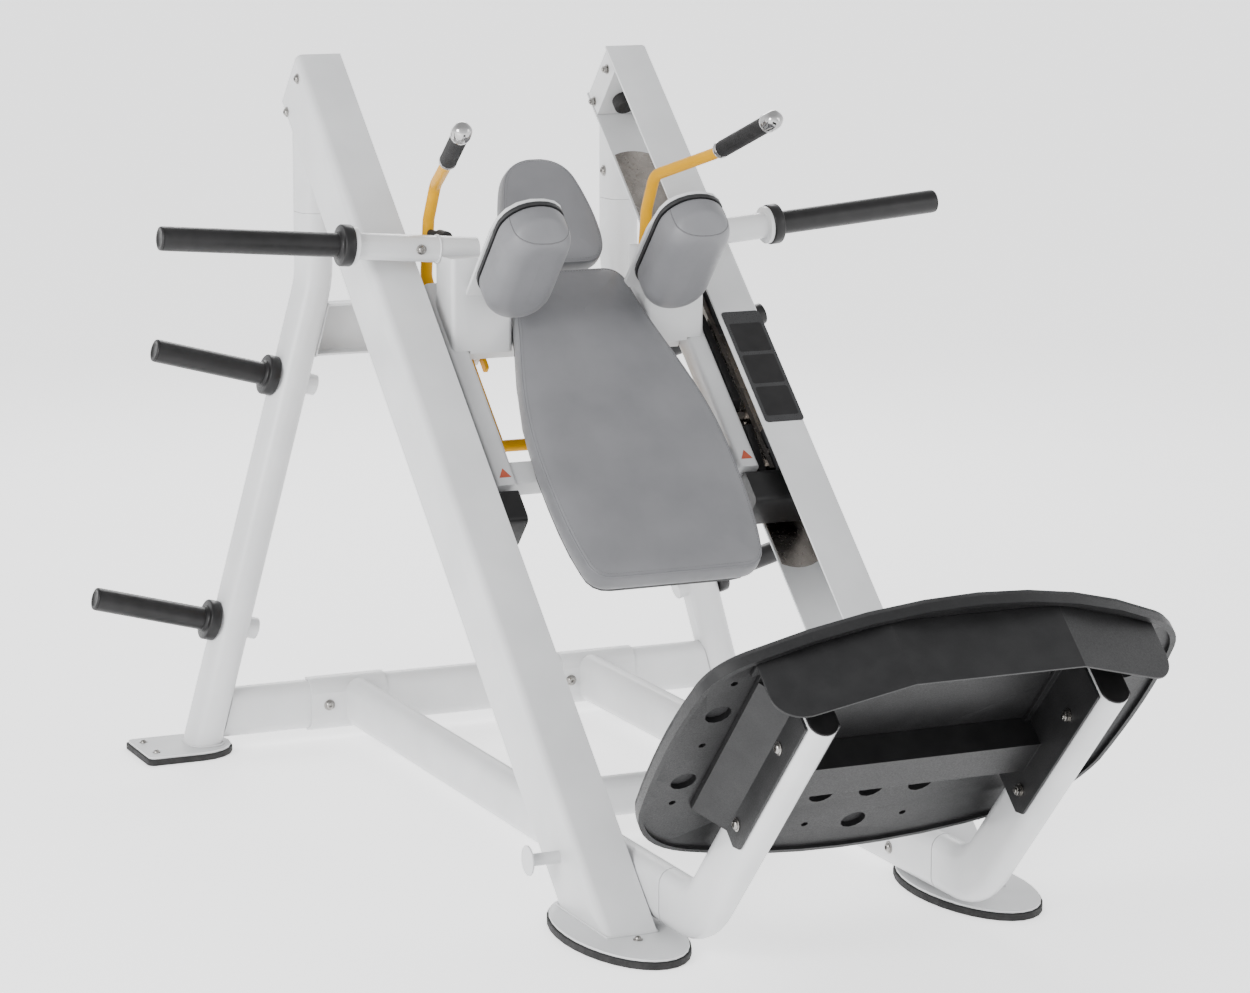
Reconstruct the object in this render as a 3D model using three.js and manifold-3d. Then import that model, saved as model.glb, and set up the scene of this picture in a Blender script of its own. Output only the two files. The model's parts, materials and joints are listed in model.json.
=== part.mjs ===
// Plate-loaded hack squat machine: an inclined carriage with pads runs on two channel rails.
// Millimetres, +Z up, X across, -Y towards the foot plate. The origin is the middle of the footprint.
import * as THREE from 'three';
import { mergeVertices } from 'three/addons/utils/BufferGeometryUtils.js';
import Module from 'manifold-3d';

const wasm = await Module();
wasm.setup();

// ---------- driving dimensions ----------
const GAP = 0.3; // clearance between touching pieces
const TILT = THREE.MathUtils.degToRad(42.6); // slope of the rails
const RAIL_TOP_Y = 1093; // front edge of a rail's upper end
const RAIL_TOP_Z = 1523;
const RAIL_OUTER_X = 414;
const RAIL_INNER_X = 313;
const RAIL_DEPTH = 156;
const RAIL_WALL = 6;
const RAIL_BEND = 14;
const TUBE_WIDTH = 56; // flat-oval frame tube
const TUBE_HEIGHT = 110;
const FRAME_TUBE_Z = 82; // height of the base tubes' centre line
const REAR_Y = 1138; // plane of the rear legs
const LEG_X = 365; // rear leg below the rail
const LEG_BEND_Z = 1030;
const LEG_FOOT_X = 638;
const LEG_JOINT_Z = 1178;
const LEG_WIDTH = 72; // rounded tube of the rear legs
const LEG_DEPTH = 100;
const LEG_RADIUS = 32;
const FOOT_RUBBER = 14;
const FOOT_STEEL = 5;
const FOOT_TOP = FOOT_RUBBER + FOOT_STEEL;
const FRONT_FOOT_X = 366;
const FRONT_FOOT_Y = -484;
const BASE_X = 283; // base beams and foot-plate arms
const BASE_FRONT_Y = -541;
const SLEEVE_RADIUS = 25; // Olympic plate sleeve
const COLLAR_RADIUS = 44;
const BEAM_INNER_X = 246; // carriage side beams
const BEAM_OUTER_X = 292;
const BEAM_FRONT_H = -38;
const BEAM_BACK_H = -88;
const WHEEL_RADIUS = 55;
const PLATE_S = 2202; // underside of the foot plate, measured down the rail
const ARM_H = [-2, 780]; // bracket stretch of the foot-plate arms above the rail plane

// ---------- rail frame ----------
// s runs down the rail from its upper end, h stands off its front face.
const railFrame = new THREE.Matrix4()
  .makeTranslation(0, RAIL_TOP_Y, RAIL_TOP_Z)
  .multiply(new THREE.Matrix4().makeRotationX(TILT));

function railPoint(x, s, h) {
  return new THREE.Vector3(x, -s, h).applyMatrix4(railFrame);
}

function onRail(geometry) {
  return geometry.applyMatrix4(railFrame);
}

// ---------- outlines ----------
function polygon(points) {
  return new THREE.Shape(points.map(([x, y]) => new THREE.Vector2(x, y)));
}

function roundedRectangle(width, height, radius) {
  const x = width / 2;
  const y = height / 2;
  const shape = new THREE.Shape();
  shape.moveTo(-x + radius, -y);
  shape.lineTo(x - radius, -y);
  shape.absarc(x - radius, -y + radius, radius, -Math.PI / 2, 0);
  shape.lineTo(x, y - radius);
  shape.absarc(x - radius, y - radius, radius, 0, Math.PI / 2);
  shape.lineTo(-x + radius, y);
  shape.absarc(-x + radius, y - radius, radius, Math.PI / 2, Math.PI);
  shape.lineTo(-x, -y + radius);
  shape.absarc(-x + radius, -y + radius, radius, Math.PI, Math.PI * 1.5);
  return shape;
}

function flatOval(width, height) {
  return roundedRectangle(width, height, Math.min(width, height) / 2 - 0.01);
}

function ellipse(halfX, halfY) {
  return new THREE.Shape().absellipse(0, 0, halfX, halfY, 0, Math.PI * 2);
}

function disc(radius) {
  return new THREE.Shape().absarc(0, 0, radius, 0, Math.PI * 2);
}

// The same outline on the other side of the middle plane.
function mirrored(shape, curveSegments) {
  const points = shape.getPoints(curveSegments).map((point) => new THREE.Vector2(-point.x, point.y));
  return new THREE.Shape(points.reverse());
}

// ---------- solids ----------
function prism(shape, from, to, curveSegments = 2) {
  const options = { depth: to - from, bevelEnabled: false, curveSegments };
  return new THREE.ExtrudeGeometry(shape, options).translate(0, 0, from);
}

// Extrude an outline drawn in (y, z) along X.
function prismX(shape, from, to, curveSegments = 2) {
  const turn = new THREE.Matrix4().makeBasis(
    new THREE.Vector3(0, 1, 0),
    new THREE.Vector3(0, 0, 1),
    new THREE.Vector3(1, 0, 0),
  );
  return prism(shape, from, to, curveSegments).applyMatrix4(turn);
}

// Extrude an outline drawn in (x, z) along Y.
function prismY(shape, from, to, curveSegments = 2) {
  const turn = new THREE.Matrix4().makeBasis(
    new THREE.Vector3(1, 0, 0),
    new THREE.Vector3(0, 0, 1),
    new THREE.Vector3(0, -1, 0),
  );
  return prism(shape, -to, -from, curveSegments).applyMatrix4(turn);
}

function box(x, y, z) {
  const geometry = new THREE.BoxGeometry(x[1] - x[0], y[1] - y[0], z[1] - z[0]);
  return geometry.translate((x[0] + x[1]) / 2, (y[0] + y[1]) / 2, (z[0] + z[1]) / 2);
}

// A box given as across, down the rail and off the rail.
function railBox(x, s, h) {
  return onRail(box(x, [-s[1], -s[0]], h));
}

function rod(start, end, radius, sides = 20) {
  const along = new THREE.Vector3().subVectors(end, start);
  const length = along.length();
  const turn = new THREE.Quaternion().setFromUnitVectors(new THREE.Vector3(0, 1, 0), along.normalize());
  const middle = new THREE.Vector3().addVectors(start, end).multiplyScalar(0.5);
  return new THREE.CylinderGeometry(radius, radius, length, sides).applyQuaternion(turn)
    .translate(middle.x, middle.y, middle.z);
}

// A turned piece along a straight line: profile is a list of [distance, radius].
function turned(start, direction, profile, sides = 20) {
  const points = profile.map(([distance, radius]) => new THREE.Vector2(radius, distance));
  const first = new THREE.Vector2(0, profile[0][0]);
  const last = new THREE.Vector2(0, profile[profile.length - 1][0]);
  const turn = new THREE.Quaternion().setFromUnitVectors(new THREE.Vector3(0, 1, 0), direction);
  return new THREE.LatheGeometry([first, ...points, last], sides).applyQuaternion(turn)
    .translate(start.x, start.y, start.z);
}

// Route through corner points with round bends, as stations of a point and a heading.
function filletedRoute(corners, bendRadius, bendSteps) {
  const stations = [];
  corners.forEach((corner, index) => {
    const isEnd = index === 0 || index === corners.length - 1;
    if (isEnd) {
      stations.push(corner.clone());
      return;
    }
    const back = new THREE.Vector3().subVectors(corners[index - 1], corner).normalize();
    const ahead = new THREE.Vector3().subVectors(corners[index + 1], corner).normalize();
    const halfTurn = (Math.PI - back.angleTo(ahead)) / 2;
    const reach = bendRadius * Math.tan(halfTurn);
    const entry = corner.clone().addScaledVector(back, reach);
    const leave = corner.clone().addScaledVector(ahead, reach);
    const bend = new THREE.QuadraticBezierCurve3(entry, corner, leave);
    stations.push(...bend.getPoints(bendSteps));
  });
  return stations;
}

// Sweep an outline along stations; `side` is the direction that the outline's x axis keeps to.
function sweep(shape, stations, side, curveSegments = 2) {
  const steps = stations.length - 1;
  const options = { depth: steps, steps, bevelEnabled: false, curveSegments };
  const geometry = new THREE.ExtrudeGeometry(shape, options);
  const position = geometry.getAttribute('position');
  const headings = stations.map((station, index) => {
    const before = stations[Math.max(index - 1, 0)];
    const after = stations[Math.min(index + 1, steps)];
    const entry = new THREE.Vector3().subVectors(station, before).normalize();
    const leave = new THREE.Vector3().subVectors(after, station).normalize();
    return entry.add(leave).normalize();
  });
  const moved = new THREE.Vector3();
  for (let index = 0; index < position.count; index += 1) {
    const station = Math.round(position.getZ(index));
    const heading = headings[station];
    const across = side.clone().addScaledVector(heading, -side.dot(heading)).normalize();
    const up = new THREE.Vector3().crossVectors(heading, across);
    moved.copy(stations[station]);
    moved.addScaledVector(across, position.getX(index));
    moved.addScaledVector(up, position.getY(index));
    position.setXYZ(index, moved.x, moved.y, moved.z);
  }
  return geometry;
}

// ---------- booleans ----------
function toManifold(geometry) {
  const bare = geometry.clone();
  bare.deleteAttribute('normal');
  bare.deleteAttribute('uv');
  const merged = mergeVertices(bare, 1e-3);
  const vertProperties = new Float32Array(merged.getAttribute('position').array);
  const triVerts = new Uint32Array(merged.getIndex().array);
  return new wasm.Manifold(new wasm.Mesh({ numProp: 3, vertProperties, triVerts }));
}

function toGeometry(solid) {
  const mesh = solid.getMesh();
  const geometry = new THREE.BufferGeometry();
  geometry.setAttribute('position', new THREE.BufferAttribute(new Float32Array(mesh.vertProperties), 3));
  geometry.setIndex(new THREE.BufferAttribute(new Uint32Array(mesh.triVerts), 1));
  return geometry;
}

function join(...geometries) {
  return toGeometry(geometries.map(toManifold).reduce((sum, next) => sum.add(next)));
}

function cut(geometry, ...cutters) {
  const tools = cutters.map(toManifold);
  return toGeometry(tools.reduce((rest, next) => rest.subtract(next), toManifold(geometry)));
}

// ---------- materials ----------
function material(color, roughness, metalness) {
  return () => new THREE.MeshStandardMaterial({ color, roughness, metalness });
}

const silverPaint = material(0xd6d7d9, 0.38, 0.25);
const blackPaint = material(0x2b2a2b, 0.45, 0.2);
const steel = material(0x9a948c, 0.28, 0.95);
const rubber = material(0x242223, 0.85, 0);
const blackPlastic = material(0x1f1e1f, 0.5, 0);
const vinyl = material(0xa3a3a7, 0.48, 0);
const yellowPaint = material(0xf0b411, 0.55, 0.1);
const chrome = material(0xd9d9dc, 0.1, 1);

const machine = new THREE.Group();

function addPiece(name, geometry, finish) {
  const mesh = new THREE.Mesh(geometry, finish());
  mesh.name = name;
  machine.add(mesh);
}

// Make a piece on the left at negative X, and its twin on the right.
function addPair(name, makeGeometry, finish) {
  addPiece(`${name}_left`, makeGeometry(-1), finish);
  addPiece(`${name}_right`, makeGeometry(1), finish);
}

function span(side, inner, outer) {
  return side < 0 ? [-outer, -inner] : [inner, outer];
}

// ---------- fixed frame ----------
// The rail is a plate bent to a C that opens towards the middle of the machine.
function railSection(side) {
  const shape = new THREE.Shape();
  const inner = RAIL_INNER_X;
  const outer = RAIL_OUTER_X;
  const bend = RAIL_BEND;
  const hollow = bend - RAIL_WALL;
  const low = -RAIL_DEPTH;
  shape.moveTo(inner, 0);
  shape.lineTo(inner, -RAIL_WALL);
  shape.lineTo(outer - bend, -RAIL_WALL);
  shape.absarc(outer - bend, -bend, hollow, Math.PI / 2, 0, true);
  shape.lineTo(outer - RAIL_WALL, low + bend);
  shape.absarc(outer - bend, low + bend, hollow, 0, -Math.PI / 2, true);
  shape.lineTo(inner, low + RAIL_WALL);
  shape.lineTo(inner, low);
  shape.lineTo(outer - bend, low);
  shape.absarc(outer - bend, low + bend, bend, -Math.PI / 2, 0);
  shape.lineTo(outer, -bend);
  shape.absarc(outer - bend, -bend, bend, 0, Math.PI / 2);
  return side > 0 ? shape : mirrored(shape, 2);
}

function rail(side) {
  const length = 2600;
  const floorCut = box([-600, 600], [-2500, 1500], [-1500, FOOT_RUBBER + 1]);
  const channel = cut(onRail(prismY(railSection(side), -length, 0)), floorCut);
  const stubShape = roundedRectangle(LEG_WIDTH, LEG_DEPTH, LEG_RADIUS);
  const stubTop = RAIL_TOP_Z + 50;
  const stub = prism(stubShape, LEG_JOINT_Z + GAP, stubTop).translate(side * LEG_X, REAR_Y, 0);
  const aboveRail = railBox([-600, 600], [-400, 1500], [-RAIL_DEPTH + 1, 500]);
  const foot = prism(ellipse(105, 213), FOOT_RUBBER, FOOT_TOP, 16)
    .translate(side * FRONT_FOOT_X, FRONT_FOOT_Y, 0);
  const pegStart = new THREE.Vector3(side * (RAIL_OUTER_X - 3), -322, 115);
  const peg = turned(pegStart, new THREE.Vector3(side, 0, 0), [[0, 12], [64, 12], [64, 29], [68, 29]], 14);
  return join(channel, cut(stub, aboveRail), foot, peg);
}

function legRoute(side) {
  const top = new THREE.Vector3(side * LEG_X, REAR_Y, LEG_JOINT_Z);
  const bend = new THREE.Vector3(side * LEG_X, REAR_Y, LEG_BEND_Z);
  const below = LEG_BEND_Z + 40;
  const foot = new THREE.Vector3(side * (LEG_X + below * legSlope), REAR_Y, LEG_BEND_Z - below);
  return [top, bend, foot];
}

// Storage horns stand square to the splayed leg.
const legSlope = (LEG_FOOT_X - LEG_X) / (LEG_BEND_Z - FOOT_TOP);
const hornTilt = Math.atan(legSlope);
const HORN_LEVELS = { upper: 812, lower: 279 };

function hornRoot(side, level) {
  return new THREE.Vector3(side * (LEG_X + (LEG_BEND_Z - level) * legSlope), REAR_Y, level);
}

function hornDirection(side) {
  return new THREE.Vector3(side * Math.cos(hornTilt), 0, Math.sin(hornTilt));
}

function footPadShape(side, grow) {
  const halfY = 88 + grow;
  const straight = 118;
  const shape = new THREE.Shape();
  const corner = 16;
  const end = straight + grow;
  shape.moveTo(0, -halfY);
  shape.absarc(0, 0, halfY, -Math.PI / 2, Math.PI / 2);
  shape.lineTo(-end + corner, halfY);
  shape.absarc(-end + corner, halfY - corner, corner, Math.PI / 2, Math.PI);
  shape.lineTo(-end, -halfY + corner);
  shape.absarc(-end + corner, -halfY + corner, corner, Math.PI, Math.PI * 1.5);
  return side < 0 ? shape : mirrored(shape, 5);
}

const REAR_FOOT_X = 664; // centre of a rear foot's round inner end
const REAR_FOOT_Y = REAR_Y + 2;

function rearFoot(side, grow, from, to) {
  return prism(footPadShape(side, grow), from, to, 5).translate(side * REAR_FOOT_X, REAR_FOOT_Y, 0);
}

function rearLeg(side) {
  const section = roundedRectangle(LEG_WIDTH, LEG_DEPTH, LEG_RADIUS);
  const tube = sweep(section, filletedRoute(legRoute(side), 260, 3), new THREE.Vector3(side, 0, 0));
  const underFoot = box([-1000, 1000], [REAR_Y - 200, REAR_Y + 200], [-200, FOOT_RUBBER + 1]);
  const plate = rearFoot(side, 0, FOOT_RUBBER, FOOT_TOP);
  const holes = [-48, 48].map((y) => prism(disc(6), 0, 40, 4)
    .translate(side * (REAR_FOOT_X + 92), REAR_FOOT_Y + y, 0));
  const bosses = Object.values(HORN_LEVELS).map((level) => {
    const inward = hornDirection(side).negate();
    return turned(hornRoot(side, level), inward, [[10, 24], [60, 24]], 14);
  });
  return join(cut(tube, underFoot), cut(plate, ...holes), ...bosses);
}

function storageHorn(side, level) {
  const faceDistance = LEG_WIDTH / 2 + GAP;
  const profile = [
    [faceDistance, COLLAR_RADIUS],
    [faceDistance + 23, COLLAR_RADIUS],
    [faceDistance + 25, COLLAR_RADIUS - 2],
    [faceDistance + 25, SLEEVE_RADIUS],
    [314, SLEEVE_RADIUS],
    [317, SLEEVE_RADIUS - 3],
  ];
  return turned(hornRoot(side, level), hornDirection(side), profile);
}

// Half-spaces outside the legs' inner faces, for the beams that run between them.
function beyondLegs(lowZ, highZ) {
  const faceOffset = (LEG_WIDTH / 2 + GAP) / Math.cos(hornTilt);
  const innerFace = (z) => LEG_X + (LEG_BEND_Z - z) * legSlope - faceOffset;
  const farX = 900;
  const halfDepth = 200;
  return [-1, 1].map((side) => {
    const outline = polygon([
      [side * innerFace(lowZ), lowZ],
      [side * farX, lowZ],
      [side * farX, highZ],
      [side * innerFace(highZ), highZ],
    ]);
    return prismY(outline, REAR_Y - halfDepth, REAR_Y + halfDepth);
  });
}

function rearCrossBeam() {
  const beam = prismX(flatOval(TUBE_WIDTH, TUBE_HEIGHT), -700, 700).translate(0, REAR_Y, FRAME_TUBE_Z);
  return cut(beam, ...beyondLegs(-100, 300));
}

// An open channel ties the legs together below the rails' upper ends.
const UPPER_TIE_Z = 920;

function upperTie() {
  const halfDepth = 27;
  const halfHeight = 56.5;
  const wall = 5;
  const section = polygon([[-halfDepth, -halfHeight], [halfDepth, -halfHeight], [halfDepth, halfHeight],
    [-halfDepth, halfHeight], [-halfDepth, halfHeight - wall], [halfDepth - wall, halfHeight - wall],
    [halfDepth - wall, wall - halfHeight], [-halfDepth, wall - halfHeight]]);
  const channel = prismX(section, -500, 500).translate(0, REAR_Y, UPPER_TIE_Z);
  return cut(channel, ...beyondLegs(UPPER_TIE_Z - 100, UPPER_TIE_Z + 100));
}

// Each base beam ends at the rear in a saddle of bent plate that grips the cross beam.
const SADDLE_WALL = 5;

function baseBeam(side) {
  const saddleGrow = 2 * (SADDLE_WALL + GAP);
  const outer = prismX(flatOval(TUBE_WIDTH + saddleGrow, TUBE_HEIGHT + saddleGrow), -89, 89);
  const bore = prismX(flatOval(TUBE_WIDTH + 2 * GAP, TUBE_HEIGHT + 2 * GAP), -100, 100);
  const openBack = box([-100, 100], [12, 100], [-100, 100]);
  const saddle = cut(outer, bore, openBack).translate(side * (BASE_X + 21), REAR_Y, FRAME_TUBE_Z);
  const saddleFront = REAR_Y - TUBE_WIDTH / 2 - GAP - SADDLE_WALL / 2;
  const beam = prismY(flatOval(TUBE_WIDTH, TUBE_HEIGHT), BASE_FRONT_Y, saddleFront)
    .translate(side * BASE_X, 0, FRAME_TUBE_Z);
  return join(saddle, beam);
}

function middleCrossTube() {
  const reach = BASE_X - TUBE_WIDTH / 2 - GAP;
  return prismX(flatOval(46, 84), -reach, reach).translate(0, 139, FRAME_TUBE_Z + 3);
}

addPair('rail', rail, silverPaint);
addPair('rear_leg', rearLeg, silverPaint);
addPair('rear_foot_pad', (side) => rearFoot(side, 4, 0, FOOT_RUBBER - GAP), rubber);
addPair('front_foot_pad', (side) => prism(ellipse(109, 217), 0, FOOT_RUBBER - GAP, 16)
  .translate(side * FRONT_FOOT_X, FRONT_FOOT_Y, 0), rubber);
addPiece('rear_cross_beam', rearCrossBeam(), silverPaint);
addPiece('upper_tie', upperTie(), silverPaint);
addPair('base_beam', baseBeam, silverPaint);
addPiece('middle_cross_tube', middleCrossTube(), silverPaint);
Object.entries(HORN_LEVELS).forEach(([name, level]) => {
  addPair(`storage_horn_${name}`, (side) => storageHorn(side, level), blackPlastic);
});

// ---------- rail fittings ----------
const STRIP_FACE_H = -RAIL_DEPTH + RAIL_WALL + GAP + 2;

function wearStrip(side) {
  const shape = new THREE.Shape();
  shape.moveTo(-42, -193);
  shape.lineTo(-42, -1333);
  shape.quadraticCurveTo(0, -1357, 42, -1333);
  shape.lineTo(42, -193);
  shape.quadraticCurveTo(0, -175, -42, -193);
  return onRail(prism(shape, STRIP_FACE_H - 2, STRIP_FACE_H, 5).translate(side * 359, 0, 0));
}

// The upper stop is a U of flat bar between the rail's lips and its web.
const END_BRACKET_S = 71;

function endBracket(side) {
  const base = railBox(span(side, 314, 402), [END_BRACKET_S - 5, END_BRACKET_S], [-148, -8]);
  const innerLeg = railBox(span(side, 314, 319), [6, 68], [-148, -8]);
  const outerLeg = railBox(span(side, 397, 402), [6, 68], [-148, -8]);
  return join(base, innerLeg, outerLeg);
}

function endBumper(side) {
  const start = railPoint(side * 360, END_BRACKET_S, -98);
  const direction = new THREE.Vector3().subVectors(railPoint(0, 1, 0), railPoint(0, 0, 0));
  const profile = [[GAP, 24], [24, 24], [28, 19]];
  return turned(start, direction, profile, 18);
}

function lowerStop(side) {
  return railBox(span(side, 318, 400), [1754, 1784], [-140, -16]);
}

addPair('wear_strip', wearStrip, steel);
addPair('end_bracket', endBracket, silverPaint);
addPair('end_bumper', endBumper, rubber);
addPair('lower_stop', lowerStop, rubber);

// ---------- foot plate ----------
// The plate stands square to the rails; y of these outlines is the height off the rail plane.
const footFrame = railFrame.clone()
  .multiply(new THREE.Matrix4().makeTranslation(0, -PLATE_S, 0))
  .multiply(new THREE.Matrix4().makeBasis(
    new THREE.Vector3(1, 0, 0),
    new THREE.Vector3(0, 0, 1),
    new THREE.Vector3(0, -1, 0),
  ));

// Solids here are drawn flat: x across, y up the plate, z away from the user below the underside.
function onFootPlate(geometry) {
  return geometry.applyMatrix4(footFrame);
}

function footPlateOutline(inset) {
  const side = 466 - inset;
  const top = 942 - inset;
  const bottom = 189 + inset;
  const cornerX = 400 - inset * 0.6; // where a round corner runs into the arched top
  const cornerY = top - 110;
  const shape = new THREE.Shape();
  shape.moveTo(-330, bottom + 54);
  shape.quadraticCurveTo(0, bottom - 54, 330, bottom + 54);
  shape.quadraticCurveTo(side - 26, bottom + 90, side, 390);
  shape.quadraticCurveTo(side + 22, 590, side, top - 207);
  shape.quadraticCurveTo(side - 6, cornerY - 33, cornerX, cornerY);
  shape.quadraticCurveTo(0, cornerY + 220, -cornerX, cornerY);
  shape.quadraticCurveTo(-side + 6, cornerY - 33, -side, top - 207);
  shape.quadraticCurveTo(-side - 22, 590, -side, 390);
  shape.quadraticCurveTo(-side + 26, bottom + 90, -330, bottom + 54);
  return shape;
}

const TRAY_THICKNESS = 18;
const DECK_THICKNESS = 9;

// Holes beside the middle, as distance from it, height and radius, and holes on it.
const TRAY_SIDE_HOLES = [
  [404, 675, 24], [404, 472, 24], [404, 765, 7], [404, 582, 7], [404, 405, 7], [100, 373, 24], [100, 276, 7],
];
const TRAY_MIDDLE_HOLES = [[0, 272, 24], [0, 373, 24]];

function footTray() {
  const slab = prism(footPlateOutline(0), -TRAY_THICKNESS, 0, 8);
  const recess = prism(footPlateOutline(9), -7, 5, 8);
  const farSide = TRAY_SIDE_HOLES.map(([x, y, radius]) => [-x, y, radius]);
  const holes = [...TRAY_SIDE_HOLES, ...farSide, ...TRAY_MIDDLE_HOLES].map(([x, y, radius]) => {
    const curveSegments = radius > 10 ? 6 : 3;
    return prism(disc(radius), -TRAY_THICKNESS - 5, 10, curveSegments).translate(x, y, 0);
  });
  return onFootPlate(cut(slab, recess, ...holes));
}

function footDeck() {
  const from = -TRAY_THICKNESS - GAP - DECK_THICKNESS;
  return onFootPlate(prism(footPlateOutline(2), from, -TRAY_THICKNESS - GAP, 8));
}

// Weldment below the plate: a channel on each arm, a cross bar and a folded hood.
const UNDERSIDE = -7 + GAP;
const CHANNEL_WALL = 5;
const armOuter = BASE_X + TUBE_WIDTH / 2 + GAP;
const armInner = BASE_X - TUBE_WIDTH / 2 - GAP;

const CHANNEL_LOW = 392;
const CHANNEL_HIGH = 776;
const CHANNEL_DEPTH = 105;

function channelWallOutline() {
  const root = UNDERSIDE / 2;
  return polygon([[CHANNEL_LOW, root], [CHANNEL_LOW, 88], [CHANNEL_LOW + 17, CHANNEL_DEPTH],
    [CHANNEL_HIGH - 2, CHANNEL_DEPTH], [CHANNEL_HIGH, CHANNEL_DEPTH - 2], [CHANNEL_HIGH, root]]);
}

// A slanted plate braces the outer wall of each channel, drawn across and in depth.
const GUSSET_X = 366;
const GUSSET_DEPTH = 54;

function gussetOutline(side) {
  const wallFace = armOuter + CHANNEL_WALL;
  const outline = [
    [GUSSET_X - 6, -1],
    [GUSSET_X, -1],
    [GUSSET_X, 3],
    [wallFace, GUSSET_DEPTH],
    [wallFace - 1, GUSSET_DEPTH],
    [wallFace - 1, GUSSET_DEPTH - 7],
  ];
  return polygon(outline.map(([x, depth]) => [side * x, depth]));
}

function footBracket() {
  const pieces = [];
  for (const side of [-1, 1]) {
    pieces.push(box(span(side, 238, GUSSET_X), [CHANNEL_LOW, CHANNEL_HIGH + 30], [UNDERSIDE, 0]));
    pieces.push(prismY(gussetOutline(side), CHANNEL_LOW, CHANNEL_HIGH));
    for (const [near, far] of [[armInner - CHANNEL_WALL, armInner], [armOuter, armOuter + CHANNEL_WALL]]) {
      pieces.push(prismX(channelWallOutline(), ...span(side, near, far)));
    }
  }
  pieces.push(box([-armInner + 2, armInner - 2], [470, 556], [UNDERSIDE, 52]));
  return onFootPlate(join(...pieces, footHood()));
}

// A folded apron closes the top of the weldment.
const HOOD_DEPTH = 121;
const HOOD_WALL = 4.5;

const HOOD_SIDE_X = 384;
const HOOD_FOLD_X = 162;
const HOOD_TOP = 907;
const HOOD_SIDE_TOP = 825;
const HOOD_CORNER = 58;

function hoodOutline(thickness) {
  return polygon([
    [-HOOD_SIDE_X, HOOD_SIDE_TOP],
    [-HOOD_SIDE_X, HOOD_SIDE_TOP - thickness],
    [-HOOD_FOLD_X, HOOD_TOP - thickness],
    [HOOD_FOLD_X, HOOD_TOP - thickness],
    [HOOD_SIDE_X, HOOD_SIDE_TOP - thickness],
    [HOOD_SIDE_X, HOOD_SIDE_TOP],
    [HOOD_FOLD_X, HOOD_TOP],
    [-HOOD_FOLD_X, HOOD_TOP],
  ]);
}

// What lies outside the round lower corner of the apron.
function hoodCorner(side) {
  const shape = new THREE.Shape();
  const centreX = HOOD_SIDE_X - HOOD_CORNER;
  const centreZ = HOOD_DEPTH - HOOD_CORNER;
  shape.moveTo(HOOD_SIDE_X + 10, centreZ);
  shape.lineTo(HOOD_SIDE_X + 10, HOOD_DEPTH + 10);
  shape.lineTo(centreX, HOOD_DEPTH + 10);
  shape.absarc(centreX, centreZ, HOOD_CORNER, Math.PI / 2, 0, true);
  return side > 0 ? shape : mirrored(shape, 6);
}

function footHood() {
  const wall = prism(hoodOutline(HOOD_WALL), UNDERSIDE, HOOD_DEPTH);
  const flange = prism(hoodOutline(34), UNDERSIDE, 0);
  const corners = [-1, 1].map((side) => prismY(hoodCorner(side), 780, 930, 6));
  return cut(join(wall, flange), ...corners);
}

function footArm(side) {
  const armDepth = 70; // centre line below the underside of the plate
  const alongPlate = (height) => new THREE.Vector3(side * BASE_X, height, armDepth).applyMatrix4(footFrame);
  const top = alongPlate(ARM_H[1]);
  const low = alongPlate(ARM_H[0]);
  const rise = new THREE.Vector3().subVectors(top, low).normalize();
  const corner = low.clone().addScaledVector(rise, (FRAME_TUBE_Z - low.z) / rise.z);
  const start = new THREE.Vector3(side * BASE_X, BASE_FRONT_Y - 3, FRAME_TUBE_Z);
  const route = filletedRoute([start, corner, top], 150, 7);
  const section = flatOval(TUBE_WIDTH, TUBE_HEIGHT);
  return sweep(section, route, new THREE.Vector3(1, 0, 0));
}

addPair('foot_arm', footArm, silverPaint);
addPiece('foot_bracket', footBracket(), blackPaint);
addPiece('foot_plate_tray', footTray(), blackPaint);
addPiece('foot_plate_deck', footDeck(), rubber);

// ---------- carriage ----------
function sideBeam(side) {
  const shape = roundedRectangle(BEAM_OUTER_X - BEAM_INNER_X, BEAM_FRONT_H - BEAM_BACK_H, 9);
  return onRail(prismY(shape, -1158, -625)
    .translate(side * (BEAM_INNER_X + BEAM_OUTER_X) / 2, 0, (BEAM_FRONT_H + BEAM_BACK_H) / 2));
}

const CROSS_FRONT_H = -46;
const CROSS_BACK_H = -90;
const UPPER_CROSS_S = [745, 795];
const LOWER_CROSS_S = [1094, 1150];
const PIVOT_S = 750;
const PIVOT_H = -112;
const BAR_RADIUS = 12.5;

function crossMember([from, to]) {
  const shape = roundedRectangle(to - from, CROSS_FRONT_H - CROSS_BACK_H, 5);
  const reach = BEAM_INNER_X - GAP;
  return onRail(prismX(shape, -reach, reach, 2)
    .translate(0, -(from + to) / 2, (CROSS_FRONT_H + CROSS_BACK_H) / 2));
}

// The release handle turns in two lugs behind the upper cross member.
function upperCrossMember() {
  const lugs = [-1, 1].map((side) => {
    const lug = prismX(roundedRectangle(48, 60, 12), ...span(side, 196, 204))
      .translate(0, -PIVOT_S - 6, PIVOT_H + 8);
    return onRail(lug);
  });
  const bore = rod(railPoint(-230, PIVOT_S, PIVOT_H), railPoint(230, PIVOT_S, PIVOT_H), BAR_RADIUS + 0.8, 18);
  return cut(join(crossMember(UPPER_CROSS_S), ...lugs), bore);
}

const WEIGHT_AXIS_Y = 605;
const WEIGHT_AXIS_SLOPE = 0.0833;
const WEIGHT_AXIS_Z0 = 1125.7; // where the axis meets the middle plane
const FLANGE_X = 467;
const ARM_INNER_X = 200;
const ARM_RADIUS = 28;

function weightAxis(x) {
  return new THREE.Vector3(x, WEIGHT_AXIS_Y, WEIGHT_AXIS_Z0 + Math.abs(x) * WEIGHT_AXIS_SLOPE);
}

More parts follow.
